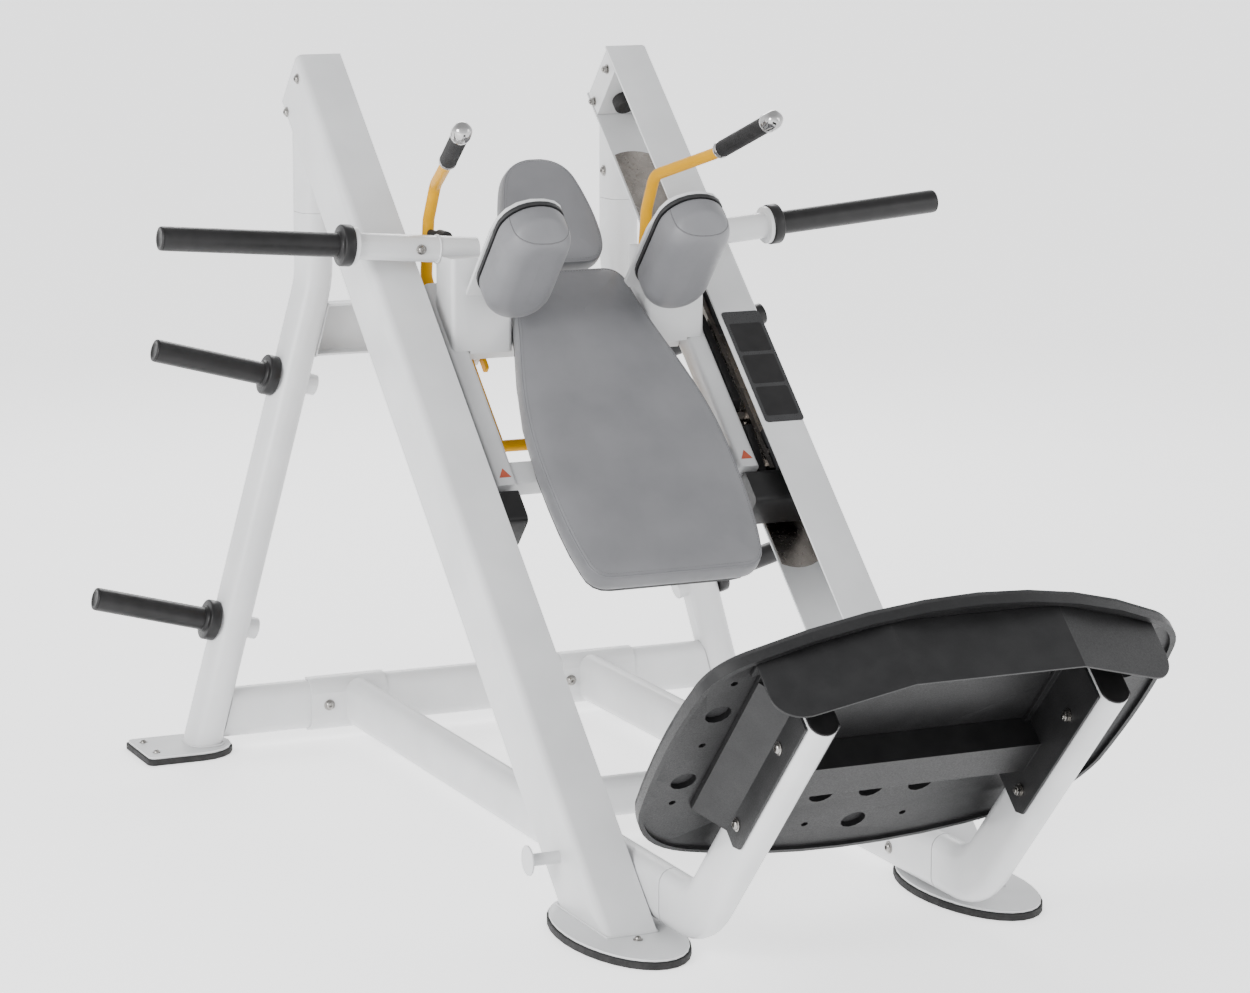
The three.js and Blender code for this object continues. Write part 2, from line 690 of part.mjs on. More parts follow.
function weightDirection(side) {
  return new THREE.Vector3().subVectors(weightAxis(side), weightAxis(0)).normalize();
}

const SHOULDER_PLATE_S = 734; // the face that the pad's board rests on
const SHOULDER_PLATE_WALL = 8;

function shoulderPlateOutline() {
  const shape = new THREE.Shape();
  shape.moveTo(254, 44);
  shape.lineTo(254, 240);
  shape.quadraticCurveTo(252, 322, 190, 330);
  shape.quadraticCurveTo(122, 334, 108, 286);
  shape.lineTo(98, 226);
  shape.lineTo(98, 60);
  shape.lineTo(112, 44);
  return shape;
}

// Block, weight arm with its flange, and the plate that carries a shoulder pad: one weldment a side.
function shoulderMount(side) {
  const block = prism(roundedRectangle(134, 96, 10), 940, 1137).translate(side * 218, 569, 0);
  const keepClear = [
    railBox(span(side, BEAM_INNER_X - GAP, 400), [500, 1200], [-300, BEAM_FRONT_H + GAP]),
    railBox([-400, 400], [500, 1200], [-300, CROSS_FRONT_H + GAP]),
  ];
  const arm = rod(weightAxis(side * ARM_INNER_X), weightAxis(side * FLANGE_X), ARM_RADIUS, 20);
  const flange = turned(weightAxis(side * FLANGE_X), weightDirection(side), [[-2, 40], [7, 40]], 24);
  const outline = side > 0 ? shoulderPlateOutline() : mirrored(shoulderPlateOutline(), 4);
  const plate = prismY(outline, -SHOULDER_PLATE_S, -SHOULDER_PLATE_S + SHOULDER_PLATE_WALL, 4);
  return cut(join(block, arm, flange, onRail(plate)), ...keepClear);
}

function weightSleeve(side) {
  const start = 7 + GAP;
  const profile = [
    [start, COLLAR_RADIUS - 1],
    [start + 22, COLLAR_RADIUS - 1],
    [start + 24, COLLAR_RADIUS - 3],
    [start + 24, SLEEVE_RADIUS],
    [410, SLEEVE_RADIUS],
    [413, SLEEVE_RADIUS - 3],
  ];
  return turned(weightAxis(side * FLANGE_X), weightDirection(side), profile);
}

// ---------- pads ----------
const SHOULDER_X = 177;
const SHOULDER_H = 192;
const BOARD_S = SHOULDER_PLATE_S + GAP;

function shoulderBoard(side) {
  const shape = roundedRectangle(146, 280, 68);
  return onRail(prismY(shape, -BOARD_S - 9, -BOARD_S, 3).translate(side * SHOULDER_X, 0, SHOULDER_H));
}

function shoulderPad(side) {
  const front = -BOARD_S - 9 - GAP;
  const solid = new THREE.ExtrudeGeometry(roundedRectangle(90, 224, 44), {
    depth: 44, bevelThickness: 40, bevelSize: 27, bevelSegments: 3, curveSegments: 3,
  });
  const halfSpace = box([-200, 200], [-200, 200], [-100, 0]);
  const body = cut(solid, halfSpace);
  const turn = new THREE.Matrix4().makeBasis(
    new THREE.Vector3(1, 0, 0),
    new THREE.Vector3(0, 0, 1),
    new THREE.Vector3(0, -1, 0),
  );
  return onRail(body.applyMatrix4(turn).translate(side * SHOULDER_X, front, SHOULDER_H));
}

// Half outline of the back pad: it widens from the neck to the hips.
function backPadOutline(inset) {
  const shape = new THREE.Shape();
  const top = -652 - inset;
  const bottom = -1440 + inset;
  const neck = 128 - inset;
  const hip = 210 - inset;
  shape.moveTo(-neck + 44, top);
  shape.lineTo(neck - 44, top);
  shape.quadraticCurveTo(neck, top, neck + 4, top - 50);
  shape.bezierCurveTo(150, -850, hip, -960, hip, -1150);
  shape.bezierCurveTo(hip, -1250, hip - 4, -1330, hip - 18, bottom + 46);
  shape.quadraticCurveTo(hip - 24, bottom, hip - 70, bottom);
  shape.lineTo(-hip + 70, bottom);
  shape.quadraticCurveTo(-hip + 24, bottom, -hip + 18, bottom + 46);
  shape.bezierCurveTo(-hip + 4, -1330, -hip, -1250, -hip, -1150);
  shape.bezierCurveTo(-hip, -960, -150, -850, -neck - 4, top - 50);
  shape.quadraticCurveTo(-neck, top, -neck + 44, top);
  return shape;
}

const BOARD_BACK_H = CROSS_FRONT_H + GAP;
const PAD_BACK_H = -34;
const PAD_FRONT_H = 24;
const PAD_CROWN = 10;

function backBoard() {
  return onRail(prism(backPadOutline(8), BOARD_BACK_H, PAD_BACK_H - GAP, 4));
}

function backPad() {
  const body = prism(backPadOutline(0), PAD_BACK_H, PAD_FRONT_H, 4);
  const crown = prism(backPadOutline(16), PAD_FRONT_H - 1, PAD_FRONT_H + PAD_CROWN, 4);
  return onRail(join(body, crown));
}

// The head pad leans forward of the back pad on a flat post.
const HEAD_LEAN = THREE.MathUtils.degToRad(12.5);
const HEAD_S = 634;
const HEAD_H = 26;
const headFrame = railFrame.clone()
  .multiply(new THREE.Matrix4().makeTranslation(0, -HEAD_S, HEAD_H))
  .multiply(new THREE.Matrix4().makeRotationX(HEAD_LEAN));

function headOutline(inset) {
  const shape = new THREE.Shape();
  const low = inset;
  const high = 250 - inset;
  const wide = 107 - inset;
  const narrow = 86 - inset;
  shape.moveTo(-wide + 50, low);
  shape.lineTo(wide - 50, low);
  shape.quadraticCurveTo(wide, low, wide, 62);
  shape.bezierCurveTo(wide, 110, narrow + 8, 160, narrow - 4, 196);
  shape.quadraticCurveTo(narrow - 22, high, 0, high);
  shape.quadraticCurveTo(-narrow + 22, high, -narrow + 4, 196);
  shape.bezierCurveTo(-narrow - 8, 160, -wide, 110, -wide, 62);
  shape.quadraticCurveTo(-wide, low, -wide + 50, low);
  return shape;
}

function headPad() {
  const body = prism(headOutline(0), -64, -8, 4);
  const crown = prism(headOutline(14), -9, 2, 4);
  return join(body, crown).applyMatrix4(headFrame);
}

function headPost() {
  const board = prism(headOutline(12), -74, -64 - GAP, 3).applyMatrix4(headFrame);
  const tongue = railBox([-32, 32], [560, UPPER_CROSS_S[0] - GAP], [-88, -74]);
  const neck = prism(roundedRectangle(64, 130, 6), -126, -72, 2).translate(0, 90, 0).applyMatrix4(headFrame);
  const behind = railBox([-200, 200], [300, 900], [-300, -88]);
  return join(board, cut(neck, behind), tongue);
}

addPair('carriage_beam', sideBeam, silverPaint);
addPiece('carriage_upper_cross', upperCrossMember(), silverPaint);
addPiece('carriage_lower_cross', crossMember(LOWER_CROSS_S), silverPaint);
addPair('shoulder_mount', shoulderMount, silverPaint);
addPair('weight_sleeve', weightSleeve, blackPlastic);
addPair('shoulder_board', shoulderBoard, blackPlastic);
addPair('shoulder_pad', shoulderPad, vinyl);
addPiece('back_board', backBoard(), blackPlastic);
addPiece('back_pad', backPad(), vinyl);
addPiece('head_post', headPost(), silverPaint);
addPiece('head_pad', headPad(), vinyl);

// ---------- running gear ----------
const AXLE_RADIUS = 10;
const WHEEL_X = [334, 380];
const SPACER_S = [640, 1010, 1138]; // spacers between a beam and its truck
const SPACER_H = -68;
const SPACER_RADIUS = 15;
const WHEELS = {
  upper: { s: 700, h: STRIP_FACE_H + GAP + WHEEL_RADIUS },
  lower: { s: 1110, h: -RAIL_WALL - GAP - WHEEL_RADIUS },
};

function truck(side) {
  const bar = railBox(span(side, 318, 328), [599, 1160], [-112, -48]);
  const spacers = SPACER_S.map((s) => rod(
    railPoint(side * (BEAM_OUTER_X + GAP), s, SPACER_H),
    railPoint(side * 320, s, SPACER_H),
    SPACER_RADIUS,
    16,
  ));
  const axles = Object.values(WHEELS).map(({ s, h }) => rod(
    railPoint(side * 322, s, h),
    railPoint(side * 388, s, h),
    AXLE_RADIUS,
    16,
  ));
  return join(bar, ...spacers, ...axles);
}

function wheel(side, { s, h }) {
  const half = (WHEEL_X[1] - WHEEL_X[0]) / 2;
  const bore = AXLE_RADIUS + 0.6;
  const chamfer = 4;
  const profile = [
    [bore, -half], [WHEEL_RADIUS - chamfer, -half], [WHEEL_RADIUS, -half + chamfer],
    [WHEEL_RADIUS, half - chamfer], [WHEEL_RADIUS - chamfer, half], [bore, half], [bore, -half],
  ].map(([radius, distance]) => new THREE.Vector2(radius, distance));
  const ring = new THREE.LatheGeometry(profile, 22).rotateZ(-Math.PI / 2);
  const centre = railPoint(side * (WHEEL_X[0] + half), s, h);
  return ring.translate(centre.x, centre.y, centre.z);
}

// Black cover beside the beam, running on into the wiper block below the lower roller.
const WIPER_LENGTH = 80;
const WIPER_TOP_S = WHEELS.lower.s + WHEEL_RADIUS + 3.5;

function guard(side) {
  const outline = polygon([[-745, -46], [-985, -40], [-1000, -64], [-1040, -64], [-1052, -38], [-1150, -52],
    [-1180, -52], [-1180, -98], [-745, -98]]);
  const bores = SPACER_S.map((s) => rod(
    railPoint(side * 250, s, SPACER_H),
    railPoint(side * 330, s, SPACER_H),
    SPACER_RADIUS + 0.5,
    16,
  ));
  const cover = onRail(prismX(outline, ...span(side, 296, 311)));
  const block = onRail(prismX(roundedRectangle(WIPER_LENGTH, 92, 12), ...span(side, 252, 394))
    .translate(0, -WIPER_TOP_S - WIPER_LENGTH / 2, -82));
  return join(cut(cover, ...bores), block);
}

addPair('truck', truck, steel);
Object.entries(WHEELS).forEach(([name, place]) => {
  addPair(`wheel_${name}`, (side) => wheel(side, place), blackPlastic);
});
addPair('guard', guard, blackPlastic);

// ---------- release handle ----------
const HANDLE_X = 222;
const LOWER_BAR_S = 1005;
const HANDLE_TIP = 18; // how far the tube runs on past its last bend
const GRIP_LENGTH = 184;

function handleArmRoute(side) {
  return [
    railPoint(side * HANDLE_X, LOWER_BAR_S, PIVOT_H),
    railPoint(side * HANDLE_X, 655, PIVOT_H),
    railPoint(side * 250, 560, -114),
    new THREE.Vector3(side * 251, 738, 1195),
    new THREE.Vector3(side * 251, 697, 1272),
    new THREE.Vector3(side * 301, 509, 1332),
  ];
}

function gripDirection(side) {
  return new THREE.Vector3(side * 36, -165, 72).normalize();
}

function gripStart(side) {
  return handleArmRoute(side)[5];
}

function handleFrame() {
  const pieces = [];
  for (const side of [-1, 1]) {
    const corners = handleArmRoute(side);
    const tip = gripStart(side).addScaledVector(gripDirection(side), HANDLE_TIP);
    const route = filletedRoute([...corners, tip], 46, 4);
    pieces.push(sweep(disc(BAR_RADIUS), route, new THREE.Vector3(1, 0, 0), 5));
    pieces.push(railBox(span(side, 184, 192), [740, 806], [PIVOT_H - 9, PIVOT_H + 9]));
  }
  for (const s of [PIVOT_S, LOWER_BAR_S]) {
    pieces.push(rod(railPoint(-HANDLE_X, s, PIVOT_H), railPoint(HANDLE_X, s, PIVOT_H), BAR_RADIUS, 16));
  }
  return join(...pieces);
}

function grip(side) {
  const start = HANDLE_TIP + GAP;
  const profile = [
    [start, 16],
    [start + 14, 16],
    [start + 17, 17.5],
    [GRIP_LENGTH, 18],
    [GRIP_LENGTH + 3, 16],
  ];
  return turned(gripStart(side), gripDirection(side), profile, 18);
}

function gripCap(side) {
  const start = GRIP_LENGTH + 3 + GAP;
  const profile = [[start, 19], [start + 10, 20.5], [start + 30, 20], [start + 40, 15], [start + 44, 7]];
  return turned(gripStart(side), gripDirection(side), profile, 20);
}

// Rubber stop on the left arm that meets the weight arm.
function handleStopper() {
  const start = new THREE.Vector3(-251, 740.8 - BAR_RADIUS, 1168);
  return turned(start, new THREE.Vector3(0, -1, 0), [[GAP, 8], [52, 8], [52, 13], [95, 13]], 16);
}

addPiece('release_frame', handleFrame(), yellowPaint);
addPair('grip', grip, rubber);
addPair('grip_cap', gripCap, chrome);
addPiece('release_stopper', handleStopper(), rubber);

const bounds = new THREE.Box3().setFromObject(machine);
machine.position.y = -(bounds.min.y + bounds.max.y) / 2;

export default machine;
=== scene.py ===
"""Looks for the hack squat machine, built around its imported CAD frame.

Metres, +Z up, -Y towards the foot plate, unless a value is said to be in millimetres.
"""

import json
import math

import bmesh
import bpy
from mathutils import Matrix, Vector, noise

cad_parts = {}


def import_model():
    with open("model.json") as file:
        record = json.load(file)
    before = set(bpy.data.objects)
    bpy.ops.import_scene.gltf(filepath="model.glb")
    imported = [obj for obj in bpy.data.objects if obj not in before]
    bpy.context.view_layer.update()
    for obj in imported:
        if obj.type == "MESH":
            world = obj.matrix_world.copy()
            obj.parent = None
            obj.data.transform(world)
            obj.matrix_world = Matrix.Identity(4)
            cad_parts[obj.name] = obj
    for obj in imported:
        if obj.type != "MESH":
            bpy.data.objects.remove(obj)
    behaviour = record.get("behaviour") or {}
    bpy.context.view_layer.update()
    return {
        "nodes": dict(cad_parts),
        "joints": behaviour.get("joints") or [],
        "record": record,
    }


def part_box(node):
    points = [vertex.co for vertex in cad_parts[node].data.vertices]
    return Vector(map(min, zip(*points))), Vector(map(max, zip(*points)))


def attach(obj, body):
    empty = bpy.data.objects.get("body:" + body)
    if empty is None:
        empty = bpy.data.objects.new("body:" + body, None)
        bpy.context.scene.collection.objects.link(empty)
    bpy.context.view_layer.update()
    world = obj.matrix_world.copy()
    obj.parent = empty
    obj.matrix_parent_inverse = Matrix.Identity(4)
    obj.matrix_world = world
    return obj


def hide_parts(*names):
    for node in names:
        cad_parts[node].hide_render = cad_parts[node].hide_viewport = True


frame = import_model()
NODES = frame["nodes"]
BODIES = frame["record"]["behaviour"]["bodies"]
BODY_OF = {node: body for body, nodes in BODIES.items() for node in nodes}
SLOT_OF = {part["node"]: part["material_slot"] for part in frame["record"]["subparts"]}
FASTENER_SLOT = SLOT_OF["truck_left"]  # the trucks' slot, passed along with bolts and nuts but not read, as they bring their own material
SIDES = (("left", -1), ("right", 1))
MM = 0.001

# ---------- the rail frame ----------
# x runs across, s down the rails from their upper end, and h off their front.
slide = next(joint for joint in frame["joints"] if joint["name"] == "carriage_slide")
ACROSS = Vector((1, 0, 0))
DOWN = Vector(slide["axis"]).normalized()
OUT = Vector((0, DOWN.z, -DOWN.y))
RAIL_TOP = max((v.co for v in NODES["rail_left"].data.vertices), key=lambda co: co.z).copy()
RAIL_TOP.x = 0
RAIL_ANGLE = math.radians(42.6)
RAIL_DEPTH = 156
RAIL_TOP_Y = 1093  # in the part's own frame, as are the next four
RAIL_TOP_Z = 1523
REAR_Y = 1138
REAR_FOOT_Y = 1140
FRONT_FOOT_TOP = 19
FOOT_PLATE_S = 2202
PLATE_ARM_S = FOOT_PLATE_S + 70  # the middle of the foot-plate arms
SHIFT_Y = RAIL_TOP.y / MM - RAIL_TOP_Y  # the part's own Y to the frame's


def at(x, s, h):
    """A point given in millimetres across, down the rail and off its front."""
    return RAIL_TOP + (ACROSS * x + DOWN * s + OUT * h) * MM


def world(x, y, z):
    """A point given in millimetres in the part's own frame."""
    return Vector((x, y + SHIFT_Y, z)) * MM


def axes_matrix(axes, origin):
    """A matrix whose local axes are the three given, standing at the origin given."""
    matrix = Matrix.Identity(4)
    for column, axis in enumerate(axes):
        matrix.col[column] = axis.to_4d()
        matrix[3][column] = 0
    matrix.translation = origin
    return matrix


def rail_matrix(x, s, h):
    """Local x across, local y up the rail, local z off its front."""
    return axes_matrix((ACROSS, -DOWN, OUT), at(x, s, h))


def plate_matrix(x, s, h):
    """For plates square to the rail: local x towards -X, local y off the rails, local z down them.

    The three axes are left-handed, so only shapes that are alike on both sides of local x suit it.
    """
    return axes_matrix((-ACROSS, OUT, DOWN), at(x, s, h))


# ---------- materials ----------
def set_range(map_range, from_low, from_high, low, high):
    limits = {"From Min": from_low, "From Max": from_high, "To Min": low, "To Max": high}
    for name, value in limits.items():
        map_range.inputs[name].default_value = value


class Surface:
    """A principled material whose colour, roughness and bump come from noise in object space."""

    def __init__(self, name, roughness, metallic=0.0, **sockets):
        self.material = bpy.data.materials.new(name)
        self.material.use_nodes = True
        self.tree = self.material.node_tree
        self.shader = self.tree.nodes["Principled BSDF"]
        self.shader.inputs["Metallic"].default_value = metallic
        self.shader.inputs["Roughness"].default_value = roughness
        for socket, value in sockets.items():
            self.shader.inputs[socket.replace("_", " ")].default_value = value
        self.place = self.node("ShaderNodeTexCoord").outputs["Object"]
        self.normal = None

    def node(self, kind, **settings):
        made = self.tree.nodes.new(kind)
        for name, value in settings.items():
            setattr(made, name, value)
        return made

    def link(self, source, target):
        self.tree.links.new(source, target)

    def noise(self, scale, detail=3.0, distortion=0.0):
        made = self.node("ShaderNodeTexNoise")
        made.inputs["Scale"].default_value = scale
        made.inputs["Detail"].default_value = detail
        made.inputs["Distortion"].default_value = distortion
        self.link(self.place, made.inputs["Vector"])
        return made.outputs["Fac"]

    def cells(self, scale, feature="F1"):
        made = self.node("ShaderNodeTexVoronoi", feature=feature)
        made.inputs["Scale"].default_value = scale
        self.link(self.place, made.inputs["Vector"])
        return made.outputs["Distance"]

    def spread(self, source, low, high, from_low=0.3, from_high=0.7):
        made = self.node("ShaderNodeMapRange")
        set_range(made, from_low, from_high, low, high)
        self.link(source, made.inputs["Value"])
        return made.outputs["Result"]

    def colours(self, source, *stops):
        ramp = self.node("ShaderNodeValToRGB")
        elements = ramp.color_ramp.elements
        while len(elements) < len(stops):
            elements.new(0.5)
        for element, (position, colour) in zip(elements, stops):
            element.position = position
            element.color = (*colour, 1)
        self.link(source, ramp.inputs["Fac"])
        self.link(ramp.outputs["Color"], self.shader.inputs["Base Color"])

    def rough(self, source, low, high):
        self.link(self.spread(source, low, high), self.shader.inputs["Roughness"])

    def bump(self, source, strength, distance):
        made = self.node("ShaderNodeBump")
        made.inputs["Strength"].default_value = strength
        made.inputs["Distance"].default_value = distance
        self.link(source, made.inputs["Height"])
        if self.normal is not None:
            self.link(self.normal, made.inputs["Normal"])
        self.normal = made.outputs["Normal"]
        self.link(self.normal, self.shader.inputs["Normal"])


def silver_paint():
    made = Surface("silver_powder_coat", 0.36, Coat_Weight=0.25, Coat_Roughness=0.22)
    made.colours(made.noise(7), (0.35, (0.58, 0.585, 0.59)), (0.65, (0.63, 0.635, 0.64)))
    made.rough(made.noise(420, 2), 0.30, 0.42)
    made.bump(made.noise(650, 2), 0.12, 0.0004)
    made.bump(made.noise(60, 2), 0.05, 0.001)
    return made.material


def black_paint():
    made = Surface("black_powder_coat", 0.42, Specular_IOR_Level=0.34, Coat_Weight=0.04,
                   Coat_Roughness=0.3)
    made.colours(made.noise(25), (0.3, (0.008, 0.008, 0.0085)), (0.7, (0.013, 0.013, 0.0135)))
    made.rough(made.noise(300, 3), 0.34, 0.52)
    made.bump(made.noise(900, 2), 0.35, 0.0005)
    return made.material


def plain_rubber():
    made = Surface("moulded_rubber", 0.7, Specular_IOR_Level=0.3)
    made.colours(made.noise(40), (0.3, (0.012, 0.012, 0.012)), (0.7, (0.024, 0.023, 0.023)))
    made.rough(made.noise(200), 0.6, 0.85)
    made.bump(made.noise(1200, 2), 0.3, 0.0004)
    return made.material


def deck_rubber():
    made = Surface("deck_rubber", 0.62, Specular_IOR_Level=0.3)
    made.colours(made.noise(12), (0.3, (0.02, 0.02, 0.021)), (0.7, (0.036, 0.036, 0.037)))
    made.rough(made.noise(90), 0.55, 0.78)
    made.bump(made.cells(160), 0.6, 0.0012)
    made.bump(made.noise(900, 2), 0.3, 0.0004)
    return made.material


def grip_rubber():
    made = Surface("grip_rubber", 0.6, Specular_IOR_Level=0.3)
    made.colours(made.noise(60), (0.3, (0.009, 0.0088, 0.009)), (0.7, (0.018, 0.0175, 0.018)))
    made.rough(made.noise(300), 0.5, 0.75)
    made.bump(made.cells(700), 0.5, 0.0006)
    return made.material


def black_plastic():
    made = Surface("satin_black_plastic", 0.38, Specular_IOR_Level=0.32)
    made.colours(made.noise(30), (0.3, (0.007, 0.0068, 0.007)), (0.7, (0.012, 0.0115, 0.012)))
    made.rough(made.noise(120, 4), 0.3, 0.46)
    made.bump(made.noise(1500, 2), 0.15, 0.0003)
    return made.material


def board_plastic():
    made = Surface("board_plastic", 0.5)
    made.colours(made.noise(30), (0.3, (0.011, 0.011, 0.012)), (0.7, (0.02, 0.02, 0.021)))
    made.rough(made.noise(150), 0.42, 0.6)
    made.bump(made.cells(900), 0.2, 0.0004)
    return made.material


def roller_plastic():
    made = Surface("polyurethane", 0.34)
    made.colours(made.noise(50), (0.3, (0.035, 0.035, 0.038)), (0.7, (0.06, 0.06, 0.065)))
    made.rough(made.noise(160), 0.28, 0.45)
    made.bump(made.noise(800), 0.15, 0.0003)
    return made.material


def vinyl():
    made = Surface("grey_vinyl", 0.44, Sheen_Weight=0.12, Sheen_Roughness=0.4, Specular_IOR_Level=0.45)
    made.colours(made.noise(9, 5), (0.3, (0.15, 0.151, 0.159)), (0.7, (0.178, 0.179, 0.188)))
    made.rough(made.noise(70, 4), 0.38, 0.5)
    made.bump(made.noise(14, 3), 0.10, 0.004)
    made.bump(made.cells(620, "SMOOTH_F1"), 0.28, 0.0006)
    made.bump(made.noise(1500, 2), 0.12, 0.0003)
    return made.material


def wear_steel():
    made = Surface("polished_steel", 0.2, 1.0, Anisotropic=0.5)
    made.colours(made.noise(12, 4, 1.0), (0.3, (0.26, 0.235, 0.21)), (0.7, (0.40, 0.37, 0.34)))
    made.rough(made.noise(160, 5), 0.14, 0.3)
    made.bump(made.noise(500, 4), 0.08, 0.0002)
    return made.material


def bolt_steel():
    made = Surface("stainless_steel", 0.22, 1.0)
    made.colours(made.noise(80), (0.3, (0.22, 0.21, 0.20)), (0.7, (0.40, 0.39, 0.37)))
    made.rough(made.noise(500), 0.18, 0.34)
    made.bump(made.noise(1800), 0.1, 0.0002)
    return made.material


def yellow_paint():
    made = Surface("yellow_powder_coat", 0.5, Specular_IOR_Level=0.12)
    made.colours(made.noise(20), (0.3, (0.62, 0.30, 0.0)), (0.7, (0.68, 0.34, 0.0)))
    made.rough(made.noise(400), 0.36, 0.5)
    made.bump(made.noise(900, 2), 0.3, 0.0005)
    return made.material


def chrome():
    made = Surface("bright_chrome", 0.07, 1.0)
    made.colours(made.noise(15), (0.3, (0.36, 0.355, 0.355)), (0.7, (0.50, 0.495, 0.49)))
    made.rough(made.noise(260, 4), 0.05, 0.12)
    made.bump(made.noise(900), 0.03, 0.0002)
    return made.material


# The stitches' own dark grey thread colour; the shoulder pads' seam cord wears it too, and there its
# darkness is painted shade of the seam's crease.
def thread_and_seam_shade():
    made = Surface("grey_thread_and_seam_shade", 0.7, Sheen_Weight=0.3)
    made.colours(made.noise(400), (0.3, (0.09, 0.09, 0.095)), (0.7, (0.13, 0.13, 0.135)))
    made.bump(made.noise(3000), 0.4, 0.0002)
    return made.material


def placard_black():
    made = Surface("placard_film", 0.3, Coat_Weight=0.4, Coat_Roughness=0.12)
    made.colours(made.noise(30), (0.3, (0.012, 0.012, 0.013)), (0.7, (0.018, 0.018, 0.019)))
    made.rough(made.noise(300), 0.26, 0.36)
    made.bump(made.noise(1500), 0.06, 0.0002)
    return made.material


def label_red():
    made = Surface("label_red", 0.45)
    made.colours(made.noise(60), (0.3, (0.42, 0.07, 0.03)), (0.7, (0.50, 0.09, 0.04)))
    made.bump(made.noise(1200), 0.1, 0.0002)
    return made.material


LOOK = {
    "silver_paint": silver_paint(),
    "black_paint": black_paint(),
    "deck_rubber": deck_rubber(),
    "rubber": plain_rubber(),
    "grip_rubber": grip_rubber(),
    "black_plastic": black_plastic(),
    "board": board_plastic(),
    "roller": roller_plastic(),
    "vinyl": vinyl(),
    "wear_steel": wear_steel(),
    "yellow_paint": yellow_paint(),
    "chrome": chrome(),
}
BOLT = bolt_steel()
THREAD_AND_SEAM_SHADE = thread_and_seam_shade()
PLACARD = placard_black()
LABEL = label_red()


# ---------- mesh helpers ----------
def add_piece(name, bm, body, slot, material=None, replaces=(), smooth=40, bevel=None, subdivide=0):
    """Turns a bmesh into a piece that rides on a body."""
    bmesh.ops.recalc_face_normals(bm, faces=bm.faces)
    mesh = bpy.data.meshes.new(name)
    bm.to_mesh(mesh)
    bm.free()
    piece = bpy.data.objects.new(name, mesh)
    bpy.context.scene.collection.objects.link(piece)
    mesh.materials.append(material or LOOK[slot])
    for polygon in mesh.polygons:
        polygon.use_smooth = True
    if subdivide:
        modifier = piece.modifiers.new("subdivide", "SUBSURF")
        modifier.levels = subdivide
        modifier.render_levels = subdivide
    else:
        mesh.set_sharp_from_angle(angle=math.radians(smooth))
    if bevel:
        modifier = piece.modifiers.new("bevel", "BEVEL")
        modifier.width = bevel * MM
        modifier.segments = 2
        modifier.limit_method = "ANGLE"
        modifier.angle_limit = math.radians(smooth)
        modifier.harden_normals = True
    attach(piece, body)
    if replaces:
        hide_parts(*replaces)
    return piece


def refined(node, bevel=1.2, smooth=34):
    """The CAD node's own shape with its facets merged, shaded round and given soft edges."""
    bm = bmesh.new()
    bm.from_mesh(NODES[node].data)
    bmesh.ops.remove_doubles(bm, verts=bm.verts, dist=2e-5)
    bmesh.ops.dissolve_limit(bm, angle_limit=math.radians(0.6), verts=bm.verts, edges=bm.edges)
    slot = SLOT_OF[node]
    return add_piece(f"{node}_skin", bm, BODY_OF[node], slot, replaces=[node], smooth=smooth, bevel=bevel)


def ring_strip(bm, rings, cyclic=True):
    """Faces between rings of vertices that have equal counts."""
    for lower, upper in zip(rings, rings[1:]):
        count = len(lower)
        for index in range(count if cyclic else count - 1):
            following = (index + 1) % count
            corners = [lower[index], lower[following], upper[following], upper[index]]
            if len(set(corners)) > 2:
                bm.faces.new(corners)


def close_ring(bm, ring):
    """Fills the slit that is left where a ring closes on a line."""
    bmesh.ops.remove_doubles(bm, verts=ring, dist=1e-5)
    left = {edge for vertex in ring if vertex.is_valid for edge in vertex.link_edges if edge.is_boundary}
    if left:
        bmesh.ops.holes_fill(bm, edges=list(left))


def basis(direction):
    """Two unit vectors square to a direction."""
    direction = direction.normalized()
    helper = Vector((0, 0, 1)) if abs(direction.z) < 0.9 else Vector((1, 0, 0))
    first = direction.cross(helper).normalized()
    return first, direction.cross(first)


def turn(bm, start, direction, profile, sides=40, ripple=None):
    """A turned solid: profile is [distance, radius] in millimetres along the direction."""
    direction = direction.normalized()
    first, second = basis(direction)
    rings = []
    for distance, radius in profile:
        ring = []
        for index in range(sides):
            angle = 2 * math.pi * index / sides
            reach = radius + (ripple(distance, angle) if ripple else 0)
            offset = first * math.cos(angle) + second * math.sin(angle)
            ring.append(bm.verts.new(start + direction * distance * MM + offset * reach * MM))
        rings.append(ring)
    ring_strip(bm, rings)
    bm.faces.new(rings[0])
    bm.faces.new(rings[-1])


def sweep(bm, points, radius, sides=16, closed=False, ripple=None):
    """A round bar of a radius in millimetres through points."""
    count = len(points)
    rings = []
    side = None
    for index, point in enumerate(points):
        before = points[index - 1] if closed or index else point
        after = points[(index + 1) % count] if closed or index < count - 1 else point
        heading = (after - before).normalized()
        side = basis(heading)[0] if side is None else (side - heading * side.dot(heading)).normalized()
        other = heading.cross(side)
        reach = radius + (ripple(index) if ripple else 0)
        ring = []
        for step in range(sides):
            angle = 2 * math.pi * step / sides
            offset = side * math.cos(angle) + other * math.sin(angle)
            ring.append(bm.verts.new(point + offset * reach * MM))
        rings.append(ring)
    if closed:
        rings.append(rings[0])
    ring_strip(bm, rings)
    if not closed:
        bm.faces.new(rings[0])
        bm.faces.new(rings[-1])


def bend_route(corners, radius, steps=8):
    """Points along straight runs joined by round bends; the radius is in millimetres."""
    points = [corners[0]]
    for before, corner, after in zip(corners, corners[1:], corners[2:]):
        back = (before - corner).normalized()
        ahead = (after - corner).normalized()
        half_turn = (math.pi - back.angle(ahead)) / 2
        reach = radius * MM * math.tan(half_turn)
        entry = corner + back * reach
        leave = corner + ahead * reach
        for step in range(steps + 1):
            share = step / steps
            rest = 1 - share
            points.append(entry * rest ** 2 + corner * 2 * share * rest + leave * share ** 2)
    points.append(corners[-1])
    return points


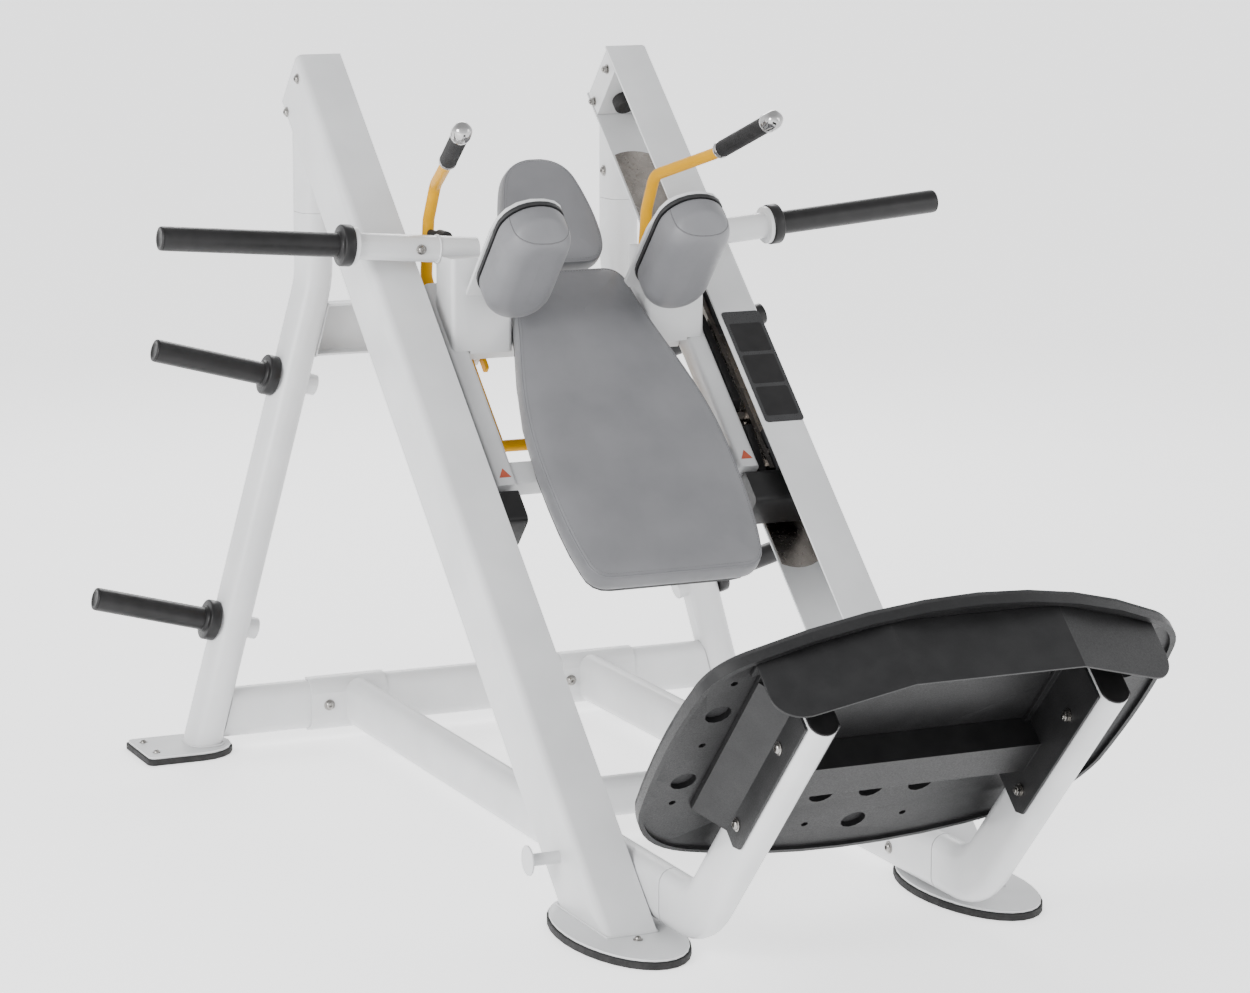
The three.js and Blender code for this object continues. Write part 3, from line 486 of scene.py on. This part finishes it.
def rounded_outline(width, height, radius, steps=6):
    """Points of a rectangle with round corners, about its middle, in millimetres."""
    points = []
    for turn_index, (sign_x, sign_y) in enumerate(((1, 1), (-1, 1), (-1, -1), (1, -1))):
        for step in range(steps + 1):
            angle = math.pi / 2 * (turn_index + step / steps)
            x = sign_x * (width / 2 - radius) + radius * math.cos(angle)
            y = sign_y * (height / 2 - radius) + radius * math.sin(angle)
            points.append((x, y))
    return points


def slab(bm, matrix, outline, low, high):
    """An outline in millimetres, extruded along the matrix's z from low to high."""
    rings = [[bm.verts.new(matrix @ (Vector((x, y, z)) * MM)) for x, y in outline] for z in (low, high)]
    ring_strip(bm, rings)
    bm.faces.new(rings[0])
    bm.faces.new(rings[1])


# ---------- CAD shapes that are right get soft edges ----------
SOFT_EDGES = {"rubber": 1.5, "board": 1.0, "wear_steel": 0.6, "roller": 1.0}
FOLDED_PLATE = {"foot_bracket": 14}
BESPOKE_SLOTS = ("vinyl", "grip_rubber", "chrome", "yellow_paint")
HORN_KINDS = ("storage_horn_upper", "storage_horn_lower", "weight_sleeve")
BESPOKE_NODES = {f"{kind}_{side}" for side, _ in SIDES for kind in HORN_KINDS}
for node in NODES:
    if SLOT_OF[node] not in BESPOKE_SLOTS and node not in BESPOKE_NODES:
        refined(node, SOFT_EDGES.get(SLOT_OF[node], 1.2), FOLDED_PLATE.get(node, 34))


# ---------- horns and sleeves ----------
STORAGE_SLOPE = 273 / 1011  # storage horns stand square to the splayed legs
WEIGHT_SLOPE = 0.0833  # weight arms and their sleeves rise outwards
WEIGHT_Y = 605
WEIGHT_Z = 1125.7
SLEEVE_RADIUS = 25
COLLAR_LENGTHS = (25, 25, 24)


def weight_axis_point(sign, x, ahead=0):
    """A point on a weight arm's axis, or ahead of it, in millimetres."""
    return world(sign * x, WEIGHT_Y - ahead, WEIGHT_Z + x * WEIGHT_SLOPE)


def horn_direction(kind, sign):
    slope = WEIGHT_SLOPE if kind == "weight_sleeve" else STORAGE_SLOPE
    return Vector((sign, 0, slope)).normalized()


def horn_profile(length, collar_length, collar_radius, sleeve_radius):
    """[distance, radius] from a horn's foot, over its collar and groove, to its hollowed end."""
    edge = 2.5
    ring = sleeve_radius + 4
    return [
        (0, collar_radius - 3), (0.6, collar_radius - 1), (edge, collar_radius),
        (collar_length - edge, collar_radius), (collar_length - 0.8, collar_radius - 1),
        (collar_length, collar_radius - 3), (collar_length + 0.4, ring + 2), (collar_length + 3, ring),
        (collar_length + 6, ring - 1), (collar_length + 7, sleeve_radius), (length - 9, sleeve_radius),
        (length - 5, sleeve_radius - 0.4), (length - 4.4, sleeve_radius - 1.4),
        (length - 3.6, sleeve_radius - 1.4), (length - 3, sleeve_radius - 0.6),
        (length - 1, sleeve_radius - 1.6), (length, sleeve_radius - 4),
        (length - 0.2, sleeve_radius - 8), (length - 2.2, sleeve_radius - 10), (length - 2.2, 2),
    ]


def make_horns():
    for side, sign in SIDES:
        for kind, collar_length in zip(HORN_KINDS, COLLAR_LENGTHS):
            node = f"{kind}_{side}"
            direction = horn_direction(kind, sign)
            points = [v.co for v in NODES[node].data.vertices]
            along = [point.dot(direction) for point in points]
            start_at, end_at = min(along), max(along)
            base = [point for point, distance in zip(points, along) if distance < start_at + 0.002]
            start = sum(base, Vector()) / len(base)
            start += direction * (start_at - start.dot(direction))
            length = (end_at - start_at) / MM
            collar = max((point - start).cross(direction).length for point in points) / MM
            bm = bmesh.new()
            profile = horn_profile(length, collar_length, collar, SLEEVE_RADIUS)
            turn(bm, start, direction, profile, sides=48)
            add_piece(f"{node}_turned", bm, BODY_OF[node], "black_plastic", replaces=[node], smooth=50)


make_horns()


# ---------- pads ----------
EDGE_INSET = 4.6  # where a pad's rolled edge ends and its crown starts
EDGE_RISE = 2.3
HEAD_LEAN = math.radians(12.5)


def outline_normals(outline):
    """The inward unit normal at each point of a closed outline."""
    count = len(outline)
    normals = []
    for index in range(count):
        before, after = outline[index - 1], outline[(index + 1) % count]
        tangent = Vector((after[0] - before[0], after[1] - before[1]))
        normals.append(Vector((-tangent.y, tangent.x)).normalized())
    return normals


def pad(name, matrix, outline, spine, back, seam, crown, node, body, bulge=2.0, fade=38.0, puckers=0.5):
    """A boxed cushion. The outline is a list of points, and each one closes towards the middle line,
    at the height that spine gives for it.

    Local z goes from the back, up the side to the seam, and over the crown, all in millimetres.
    """
    wall = seam - back
    rise = crown - seam - EDGE_RISE

    def crown_height(inset):
        return seam + EDGE_RISE + rise * (1 - math.exp(-(inset - EDGE_INSET) / fade))

    edge = [
        (26, back), (9, back + 0.3), (3, back + 2), (0.6, back + 6),
        (-bulge * 0.7, back + wall * 0.3), (-bulge, back + wall * 0.55), (-bulge * 0.6, seam - 7),
        (0.4, seam - 2.6), (1.5, seam - 1.4), (1.9, seam - 0.2), (2.8, seam + 0.9),
        (EDGE_INSET, seam + EDGE_RISE),
    ]
    edge += [(inset, crown_height(inset)) for inset in (8, 13, 20, 29, 40)]
    last_inset = edge[-1][0]
    bm = bmesh.new()
    rings = []
    normals = outline_normals(outline)

    def vertex(x, y, z):
        ripple = noise.noise(Vector((x, y, z)) * 0.02) * puckers
        return bm.verts.new(matrix @ (Vector((x, y, z + (ripple if z > seam + 1 else 0))) * MM))

    for inset, height in edge:
        ring = []
        for (x, y), normal in zip(outline, normals):
            ring.append(vertex(x + normal.x * inset, y + normal.y * inset, height))
        rings.append(ring)
    for share in (0.18, 0.36, 0.54, 0.72, 0.88, 1.0):
        ring = []
        for (x, y), normal in zip(outline, normals):
            start = Vector((x, y)) + normal * last_inset
            point = start.lerp(Vector((0, spine(y))), share)
            inset = last_inset + (start - point).length
            ring.append(vertex(point.x, point.y, crown_height(inset)))
        rings.append(ring)
    ring_strip(bm, rings)
    bm.faces.new(rings[0])
    close_ring(bm, rings[-1])
    piece = add_piece(name, bm, body, "vinyl", replaces=[node], subdivide=1)
    welt = bmesh.new()
    sweep(welt, [matrix @ (Vector((x + n.x * 1.4, y + n.y * 1.4, seam - 0.6)) * MM)
                 for (x, y), n in zip(outline, normals)], 1.5, sides=8, closed=True)
    add_piece(f"{name}_welt", welt, body, "vinyl", smooth=60)
    inset = 6.5
    route = [(x + n.x * inset, y + n.y * inset) for (x, y), n in zip(outline, normals)]
    stitches(f"{name}_stitches", matrix, route, crown_height(inset), body)


def stitches(name, matrix, route, height, body, length=4.2, pitch=6.5):
    """Short threads along a closed route."""
    bm = bmesh.new()
    carried = 0.0
    for start, end in zip(route, route[1:] + route[:1]):
        run = Vector((end[0] - start[0], end[1] - start[1]))
        if run.length < 1e-6:
            continue
        heading = run.normalized()
        while carried < run.length:
            point = Vector(start) + heading * carried
            half = heading * length / 2
            ends = [matrix @ (Vector((*(point + half * share), height + lift)) * MM)
                    for share, lift in ((-1, -0.5), (-0.6, 0.25), (0, 0.5), (0.6, 0.25), (1, -0.5))]
            sweep(bm, ends, 0.45, sides=6)
            carried += pitch
        carried -= run.length
    add_piece(name, bm, body, "vinyl", material=THREAD_AND_SEAM_SHADE, smooth=80)


def bezier(points, steps):
    """Points along one quadratic or cubic curve, without its last point."""
    order = len(points) - 1
    made = []
    for step in range(steps):
        t = step / steps
        weights = [math.comb(order, k) * (1 - t) ** (order - k) * t ** k for k in range(order + 1)]
        made.append(tuple(sum(w * p[axis] for w, p in zip(weights, points)) for axis in (0, 1)))
    return made


def even(points, spacing):
    """The same closed outline with points at an even spacing."""
    loop = [Vector(point) for point in points] + [Vector(points[0])]
    lengths = [0.0]
    for start, end in zip(loop, loop[1:]):
        lengths.append(lengths[-1] + (end - start).length)
    count = round(lengths[-1] / spacing)
    made = []
    index = 0
    for step in range(count):
        wanted = lengths[-1] * step / count
        while lengths[index + 1] < wanted:
            index += 1
        share = (wanted - lengths[index]) / max(lengths[index + 1] - lengths[index], 1e-9)
        made.append(tuple(loop[index].lerp(loop[index + 1], share)))
    return made


def mirrored(half):
    """A closed outline from its right half, listed from the bottom to the top."""
    return half + [(-x, y) for x, y in reversed(half)]


def back_pad():
    """Narrow at the neck, widest at the hips. Local y goes up the rail from the pad's own middle."""
    top, bottom = 394, -394
    neck, hip = 128, 210
    half = bezier([(0, bottom), (70, bottom), (hip - 70, bottom)], 6)
    half += bezier([(hip - 70, bottom), (hip - 24, bottom), (hip - 18, bottom + 46)], 10)
    half += bezier([(hip - 18, bottom + 46), (hip - 4, -284), (hip, -204), (hip, -104)], 12)
    half += bezier([(hip, -104), (hip, 86), (150, 196), (neck + 4, top - 50)], 20)
    half += bezier([(neck + 4, top - 50), (neck, top), (neck - 44, top)], 10)
    half += [(neck - 44, top), (0.5, top)]
    outline = even(mirrored(half), 9)

    def spine(y):
        return max(-230, min(270, y * 0.8))

    matrix = rail_matrix(0, 1046, 0)
    pad("back_cushion", matrix, outline, spine, -33.5, 13, 33, "back_pad", "carriage", fade=34)


def head_pad():
    """The head pad leans forward of the rails."""
    low, high, wide, narrow = 0, 250, 107, 86
    half = [(0, low), (wide - 50, low)]
    half += bezier([(wide - 50, low), (wide, low), (wide, 62)], 10)
    half += bezier([(wide, 62), (wide, 110), (narrow + 8, 160), (narrow - 4, 196)], 10)
    half += bezier([(narrow - 4, 196), (narrow - 22, high), (0.5, high)], 10)
    outline = even(mirrored(half), 7)

    def spine(y):
        return max(100, min(160, y))

    matrix = rail_matrix(0, 634, 26) @ Matrix.Rotation(HEAD_LEAN, 4, "X")
    pad("head_cushion", matrix, outline, spine, -63.5, -13, 1, "head_pad", "carriage", bulge=3, fade=26)


SHOULDER_S = 743.7
SHOULDER_H = 192
SHOULDER_SPINE = 66  # half the length of the line that a shoulder pad closes on
SEAM_Y = 110  # the seam at the foot of a shoulder pad's cap, above the pad's middle
CAP_TOP_Y = 139
CAP_FALL = 0.45


def shoulder_pads():
    """A deep pad with a round front, on a board that stands square to the rails."""
    for side, _ in SIDES:
        node = f"shoulder_pad_{side}"
        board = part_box(f"shoulder_board_{side}")
        x = (board[0].x + board[1].x) / 2 / MM
        matrix = plate_matrix(x, SHOULDER_S, SHOULDER_H)
        outline = even(rounded_outline(144, 278, 70, 10), 7)
        normals = outline_normals(outline)
        bm = bmesh.new()
        rings = []
        depth, shoulder, round_inset = 84, 38, 46
        profile = [(20, 0.2), (6, 0.4), (1.5, 2), (0, 6), (-1, 16), (-1, 30)]
        for step in range(1, 13):
            angle = math.pi / 2 * step / 12
            inset = round_inset * (1 - math.cos(angle)) - 1
            profile.append((inset, shoulder + (depth - shoulder) * math.sin(angle)))
        for inset, height in profile:
            ring = []
            for (px, py), normal in zip(outline, normals):
                spot = Vector((px + normal.x * inset, py + normal.y * inset, height))
                sloped = cap_slope(spot.y, height, depth)
                ring.append(bm.verts.new(matrix @ (Vector((spot.x, spot.y, sloped)) * MM)))
            rings.append(ring)
        last_inset = round_inset - 1
        for share in (0.35, 0.7, 1.0):
            ring = []
            for (px, py), normal in zip(outline, normals):
                start = Vector((px, py)) + normal * last_inset
                end = Vector((0, max(-SHOULDER_SPINE, min(SHOULDER_SPINE, py))))
                point = start.lerp(end, share)
                height = cap_slope(point.y, depth + 1.5 * share, depth)
                ring.append(bm.verts.new(matrix @ (Vector((point.x, point.y, height)) * MM)))
            rings.append(ring)
        ring_strip(bm, rings)
        bm.faces.new(rings[0])
        close_ring(bm, rings[-1])
        name = f"shoulder_cushion_{side}"
        piece = add_piece(name, bm, "carriage", "vinyl", replaces=[node], subdivide=1)
        cap_seam(f"{name}_seam", piece, matrix)


def cap_slope(y, height, depth):
    """The upper cap of a shoulder pad falls back towards the board above its seam."""
    if y <= SEAM_Y:
        return height
    fall = min((y - SEAM_Y) / (CAP_TOP_Y - SEAM_Y), 1)
    return height * (1 - CAP_FALL * fall * height / depth)


def cap_seam(name, piece, matrix):
    """A sewn seam round the pad at the foot of its cap, drawn as a cord in dark thread grey that paints
    the shade of the seam's crease, found by casting rays on to the surface.
    """
    depsgraph = bpy.context.evaluated_depsgraph_get()
    shape = piece.evaluated_get(depsgraph)
    to_local = piece.matrix_world.inverted()
    route = []
    reach = 120
    for step in range(41):
        angle = math.pi * step / 40
        away = Vector((math.cos(angle) * reach, SEAM_Y, math.sin(angle) * reach + 4))
        aim = Vector((0, SEAM_Y, 4))
        start = to_local @ (matrix @ (away * MM))
        end = to_local @ (matrix @ (aim * MM))
        hit, place, normal, _ = shape.ray_cast(start, (end - start).normalized())
        if hit:
            route.append(piece.matrix_world @ (place - normal * 0.0006))
    bm = bmesh.new()
    sweep(bm, route, 1.7, sides=8)
    # this dark grey cord is painted shade in the crease of the seam
    add_piece(name, bm, "carriage", "vinyl", material=THREAD_AND_SEAM_SHADE, smooth=60)


back_pad()
head_pad()
shoulder_pads()


# ---------- release handle ----------
HANDLE_X = 222
BAR_RADIUS = 12.5
BEND_RADIUS = 46
LOWER_BAR_S = 1005
PIVOT = next(joint for joint in frame["joints"] if joint["name"] == "release_turn")["pos_m"]


def rail_coordinates(point):
    offset = Vector(point) - RAIL_TOP
    return offset.dot(DOWN) / MM, offset.dot(OUT) / MM


PIVOT_S, PIVOT_H = rail_coordinates(PIVOT)

def handle_corners(sign):
    return [
        at(sign * HANDLE_X, LOWER_BAR_S, PIVOT_H),
        at(sign * HANDLE_X, 655, PIVOT_H),
        at(sign * 250, 560, -114),
        world(sign * 251, 738, 1195),
        world(sign * 251, 697, 1272),
        world(sign * 301, 509, 1332),
    ]


def grip_line(sign):
    return handle_corners(sign)[-1], Vector((sign * 36, -165, 72)).normalized()


def knurl(distance, angle):
    """Diamond pattern on the middle stretch of a grip."""
    if not 32 < distance < 186:
        return 0
    return 0.55 * math.cos(angle * 12 + distance * 0.55) * math.cos(angle * 12 - distance * 0.55)


def dome_ripple(distance, angle):
    """Four soft lobes on the round end of a grip's cap."""
    return 0.5 * math.cos(4 * angle) if distance > 204 else 0


def make_handle():
    bm = bmesh.new()
    for _, sign in SIDES:
        start, direction = grip_line(sign)
        corners = handle_corners(sign) + [start + direction * 18 * MM]
        sweep(bm, bend_route(corners, BEND_RADIUS), BAR_RADIUS, sides=24)
        latch = rounded_outline(66, 18, 4)
        matrix = Matrix.Translation(at(sign * 188, 773, PIVOT_H)) @ rail_matrix(0, 0, 0).to_3x3().to_4x4()
        matrix = matrix @ Matrix.Rotation(math.pi / 2, 4, "Z") @ Matrix.Rotation(math.pi / 2, 4, "X")
        slab(bm, matrix, latch, -4, 4)
    for s in (PIVOT_S, LOWER_BAR_S):
        sweep(bm, [at(-HANDLE_X, s, PIVOT_H), at(HANDLE_X, s, PIVOT_H)], BAR_RADIUS, sides=24)
    add_piece("release_bar", bm, "release_handle", "yellow_paint", replaces=["release_frame"], smooth=50)
    for side, sign in SIDES:
        start, direction = grip_line(sign)
        collar = bmesh.new()
        ring = [(18.4, 15), (19, 17.5), (22, 18.6), (27, 18.6), (30, 17.6), (30.6, 15)]
        turn(collar, start, direction, ring, sides=40)
        add_piece(f"grip_collar_{side}", collar, "release_handle", "chrome", smooth=50)
        sleeve = bmesh.new()
        profile = [(30.9, 14.5), (31.4, 16.6), (32, 17.4)]
        profile += [(32 + step * 2.0, 17.7) for step in range(1, 77)]
        profile += [(186, 17.6), (186.6, 15)]
        turn(sleeve, start, direction, profile, sides=72, ripple=knurl)
        add_piece(f"grip_sleeve_{side}", sleeve, "release_handle", "grip_rubber",
                  replaces=[f"grip_{side}"], smooth=60)
        cap = bmesh.new()
        dome = [(187.4, 15), (188, 19), (190, 20.4), (200, 20.8), (203, 20.2), (205, 20.6), (218, 19.4),
                (224, 16.8), (228.5, 12.5), (231, 7), (231.6, 1.5)]
        turn(cap, start, direction, dome, sides=48, ripple=dome_ripple)
        add_piece(f"grip_dome_{side}", cap, "release_handle", "chrome",
                  replaces=[f"grip_cap_{side}"], smooth=60)


make_handle()


# ---------- fasteners ----------
BOLT_SIDES = 36
WASHER = 2.0


def bolt(name, point, direction, body, radius=9.5):
    """A button-head bolt with a hexagon socket, on a washer."""
    direction = direction.normalized()
    bm = bmesh.new()
    washer = [(0, radius + 2.2), (0.3, radius + 2.8), (1.7, radius + 2.8), (WASHER, radius + 2.2)]
    turn(bm, point, direction, washer, BOLT_SIDES)
    angles = [2 * math.pi * k / BOLT_SIDES for k in range(BOLT_SIDES)]
    head = [(0, radius), (0.8, radius), (2.6, radius * 0.93), (4.2, radius * 0.78),
            (5.2, radius * 0.6), (5.3, radius * 0.52)]
    levels = [(height, [reach] * BOLT_SIDES) for height, reach in head]
    socket = []
    for angle in angles:
        hexagon = math.cos(math.pi / 6) / math.cos(angle % (math.pi / 3) - math.pi / 6)
        socket.append(radius * 0.44 * hexagon)
    levels += [(5.1, socket), (1.8, socket)]
    first, second = basis(direction)
    rings = []
    for height, reaches in levels:
        ring = []
        for angle, reach in zip(angles, reaches):
            across = (first * math.cos(angle) + second * math.sin(angle)) * reach
            ring.append(bm.verts.new(point + (direction * (WASHER + height) + across) * MM))
        rings.append(ring)
    ring_strip(bm, rings)
    bm.faces.new(rings[0])
    bm.faces.new(rings[-1])
    add_piece(name, bm, body, FASTENER_SLOT, material=BOLT, smooth=35)


def nut(name, point, direction, body, radius=9.5):
    """A hexagon nut with the bolt's end standing out of it."""
    direction = direction.normalized()
    bm = bmesh.new()
    turn(bm, point, direction, [(0, radius + 2.6), (1.8, radius + 2.6)], BOLT_SIDES)
    turn(bm, point, direction, [(1.8, radius * 0.92), (2.4, radius), (9, radius), (9.8, radius * 0.9)], 6)
    turn(bm, point, direction, [(9, radius * 0.52), (12.4, radius * 0.52), (13, radius * 0.45)], 24)
    add_piece(name, bm, body, FASTENER_SLOT, material=BOLT, smooth=35)


def make_fasteners():
    up = Vector((0, 0, 1))
    forward = Vector((0, -1, 0))
    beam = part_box("rear_cross_beam")
    rear_y = (beam[0].y + beam[1].y) / 2 / MM - SHIFT_Y
    saddle_y = rear_y - 33.6
    for side, sign in SIDES:
        outward = ACROSS * sign
        for row, h in enumerate((-34, -138)):
            bolt(f"rail_end_bolt_{side}_{row}", at(sign * 414, 40, h), outward, "frame", 8.5)
            nut(f"rail_end_nut_{side}_{row}", at(sign * 314, 40, h), -outward, "frame", 8.5)
        bolt(f"leg_joint_bolt_{side}", world(sign * 329, rear_y, 1240), -outward, "frame")
        bolt(f"saddle_bolt_{side}", world(sign * 352, saddle_y, 82), forward, "frame")
        bolt(f"saddle_bolt_inner_{side}", world(sign * 232, saddle_y, 82), forward, "frame")
        bolt(f"beam_bolt_{side}", world(sign * 255, -376, 70), -outward, "frame")
        bolt(f"arm_bolt_{side}", weight_axis_point(sign, 330, ahead=28), forward, "carriage", 8)
        for row, h in enumerate((671, 436)):
            bolt(f"plate_bolt_{side}_{row}", at(sign * 316.6, PLATE_ARM_S, h), outward, "frame")
            nut(f"plate_nut_{side}_{row}", at(sign * 249.4, PLATE_ARM_S, h), -outward, "frame")
        for row, s in enumerate((640, 1010, 1138)):
            bolt(f"beam_face_bolt_{side}_{row}", at(sign * 246, s, -68), -outward, "carriage", 7)
        for row, dy in enumerate((-48, 48)):
            anchor = world(sign * (664 + 92), REAR_FOOT_Y + dy, 17)
            bolt(f"rear_anchor_{side}_{row}", anchor, up, "frame", 7)
        bolt(f"front_anchor_{side}", world(sign * 366, -572, FRONT_FOOT_TOP), up, "frame", 6.5)


make_fasteners()


# ---------- weld beads, caps, placard ----------
def weld_ripple(index):
    return 0.35 * math.sin(index * 2.1) + 0.15 * math.sin(index * 5.3)


def bead(name, route, body, radius=2.6):
    """A closed weld bead under the paint, with the ripple that a weld has."""
    bm = bmesh.new()
    sweep(bm, route, radius, sides=8, closed=True, ripple=weld_ripple)
    add_piece(name, bm, body, "silver_paint", smooth=80)


def ring_route(centre, first, second, half_first, half_second, radius, spacing=5.0):
    outline = even(rounded_outline(half_first * 2, half_second * 2, radius, 8), spacing)
    return [centre + (first * x + second * y) * MM for x, y in outline]


def make_beads():
    front = RAIL_TOP_Y - (RAIL_TOP_Z - FRONT_FOOT_TOP) / math.tan(RAIL_ANGLE)
    back = front + RAIL_DEPTH / math.sin(RAIL_ANGLE)
    rail_foot = even([(415, front - 1), (415, back + 1), (314, back + 1), (314, front - 1)], 6)
    tie_end = even([(-27.5, 863.5), (27.5, 863.5), (27.5, 977), (-27.5, 977)], 6)
    for side, sign in SIDES:
        foot = ring_route(world(sign * 635, REAR_Y, 21), ACROSS, Vector((0, 1, 0)), 38, 51, 32)
        bead(f"leg_foot_bead_{side}", foot, "frame")
        bead(f"rail_foot_bead_{side}", [world(sign * x, y, 20.5) for x, y in rail_foot], "frame", 2.4)
        axis = Vector((sign, 0, WEIGHT_SLOPE)).normalized()
        first, second = basis(axis)
        for label, x in (("block", 286), ("flange", 465.5)):
            centre = weight_axis_point(sign, x)
            circle = []
            for step in range(36):
                angle = 2 * math.pi * step / 36
                across = first * math.cos(angle) + second * math.sin(angle)
                circle.append(centre + across * 28.5 * MM)
            bead(f"arm_{label}_bead_{side}", circle, "carriage", 2.2)
        tie = [world(sign * (365 + (1030 - z) * 0.27 - 39), REAR_Y + y, z) for y, z in tie_end]
        bead(f"tie_bead_{side}", tie, "frame", 2.2)


make_beads()


def make_caps():
    """Black plugs in the upper ends of the foot-plate arms."""
    for side, sign in SIDES:
        bm = bmesh.new()
        matrix = rail_matrix(sign * 283, PLATE_ARM_S, 780)
        slab(bm, matrix, rounded_outline(55, 109, 27, 8), 0.3, 4)
        add_piece(f"arm_cap_{side}", bm, "frame", "black_plastic", smooth=40, bevel=1.2)


make_caps()


def make_placard():
    """A plain dark plate with blank panels, where the real machine has its instructions."""
    bm = bmesh.new()
    matrix = rail_matrix(366, 930, 0)
    slab(bm, matrix, rounded_outline(90, 298, 8, 6), 0.15, 1.1)
    add_piece("placard", bm, "frame", "black_plastic", material=PLACARD, smooth=40)
    panels = bmesh.new()
    for y in (78, -8, -94):
        place = matrix @ Matrix.Translation((0, y * MM, 0))
        slab(panels, place, rounded_outline(74, 76, 5, 4), 1.15, 1.35)
    add_piece("placard_panels", panels, "frame", "black_plastic", smooth=40)


make_placard()


def make_labels():
    """Plain triangles on the carriage beams."""
    for side, sign in SIDES:
        bm = bmesh.new()
        matrix = rail_matrix(sign * 269, 1128, -38)
        slab(bm, matrix, [(-13, -11), (13, -11), (0, 12)], 0.2, 0.6)
        add_piece(f"beam_label_{side}", bm, "carriage", "black_plastic", material=LABEL, smooth=40)


make_labels()


# ---------- floor, light and camera ----------
FLOOR_REACH = 40
FLOOR_GLOW = 1.25  # a lit white sweep
HORIZON_GLOW = 1.7
ZENITH_GLOW = 0.75


def make_stage():
    floor_mesh = bpy.data.meshes.new("studio_floor")
    corners = [(x * FLOOR_REACH, y * FLOOR_REACH, 0) for x, y in ((-1, -1), (1, -1), (1, 1), (-1, 1))]
    floor_mesh.from_pydata(corners, [], [(0, 1, 2, 3)])
    floor = bpy.data.objects.new("studio_floor", floor_mesh)
    floor.location.z = -0.0005
    bpy.context.scene.collection.objects.link(floor)
    made = Surface("studio_floor", 0.7, Emission_Color=(1.0, 1.0, 1.0, 1.0),
                   Emission_Strength=FLOOR_GLOW)
    made.colours(made.noise(1.5), (0.3, (0.86, 0.86, 0.865)), (0.7, (0.88, 0.88, 0.885)))
    floor_mesh.materials.append(made.material)


def area_light(name, location, target, size, power):
    light = bpy.data.lights.new(name, "AREA")
    light.energy = power
    light.size = size
    lamp = bpy.data.objects.new(name, light)
    lamp.location = location
    lamp.rotation_euler = (Vector(target) - Vector(location)).to_track_quat("-Z", "Y").to_euler()
    bpy.context.scene.collection.objects.link(lamp)


def make_world():
    """Bright round the sides and dimmer overhead, as in a white studio with a dark ceiling."""
    world_light = bpy.data.worlds.new("studio")
    bpy.context.scene.world = world_light
    world_light.use_nodes = True
    tree = world_light.node_tree
    background = tree.nodes["Background"]
    background.inputs["Color"].default_value = (0.985, 0.99, 1.0, 1)
    place = tree.nodes.new("ShaderNodeTexCoord")
    parts = tree.nodes.new("ShaderNodeSeparateXYZ")
    glow = tree.nodes.new("ShaderNodeMapRange")
    set_range(glow, 0.1, 0.85, HORIZON_GLOW, ZENITH_GLOW)
    tree.links.new(place.outputs["Generated"], parts.inputs["Vector"])
    tree.links.new(parts.outputs["Z"], glow.inputs["Value"])
    tree.links.new(glow.outputs["Result"], background.inputs["Strength"])


def make_lights():
    area_light("key", (-5.4, -2.2, 2.6), (0, 0, 0.8), 3.0, 330)
    area_light("fill", (4.8, -4.2, 2.6), (0, 0, 0.7), 3.0, 70)
    area_light("rim", (1.5, 4.8, 3.6), (0, 0, 0.9), 2.4, 120)


def make_camera():
    camera = bpy.data.cameras.new("camera")
    camera.sensor_width = 36
    camera.lens = 107.53
    camera.shift_x = 0.0166
    camera.shift_y = -0.0593
    camera.clip_end = 60
    holder = bpy.data.objects.new("camera", camera)
    azimuth, elevation = math.radians(-24.05), math.radians(9.37)
    holder.location = (-3.083, -6.5104, 2.048)
    view = Vector((-math.sin(azimuth) * math.cos(elevation), math.cos(azimuth) * math.cos(elevation),
                   -math.sin(elevation)))
    holder.rotation_euler = view.to_track_quat("-Z", "Y").to_euler()
    bpy.context.scene.collection.objects.link(holder)
    bpy.context.scene.camera = holder


make_stage()
make_world()
make_lights()
make_camera()
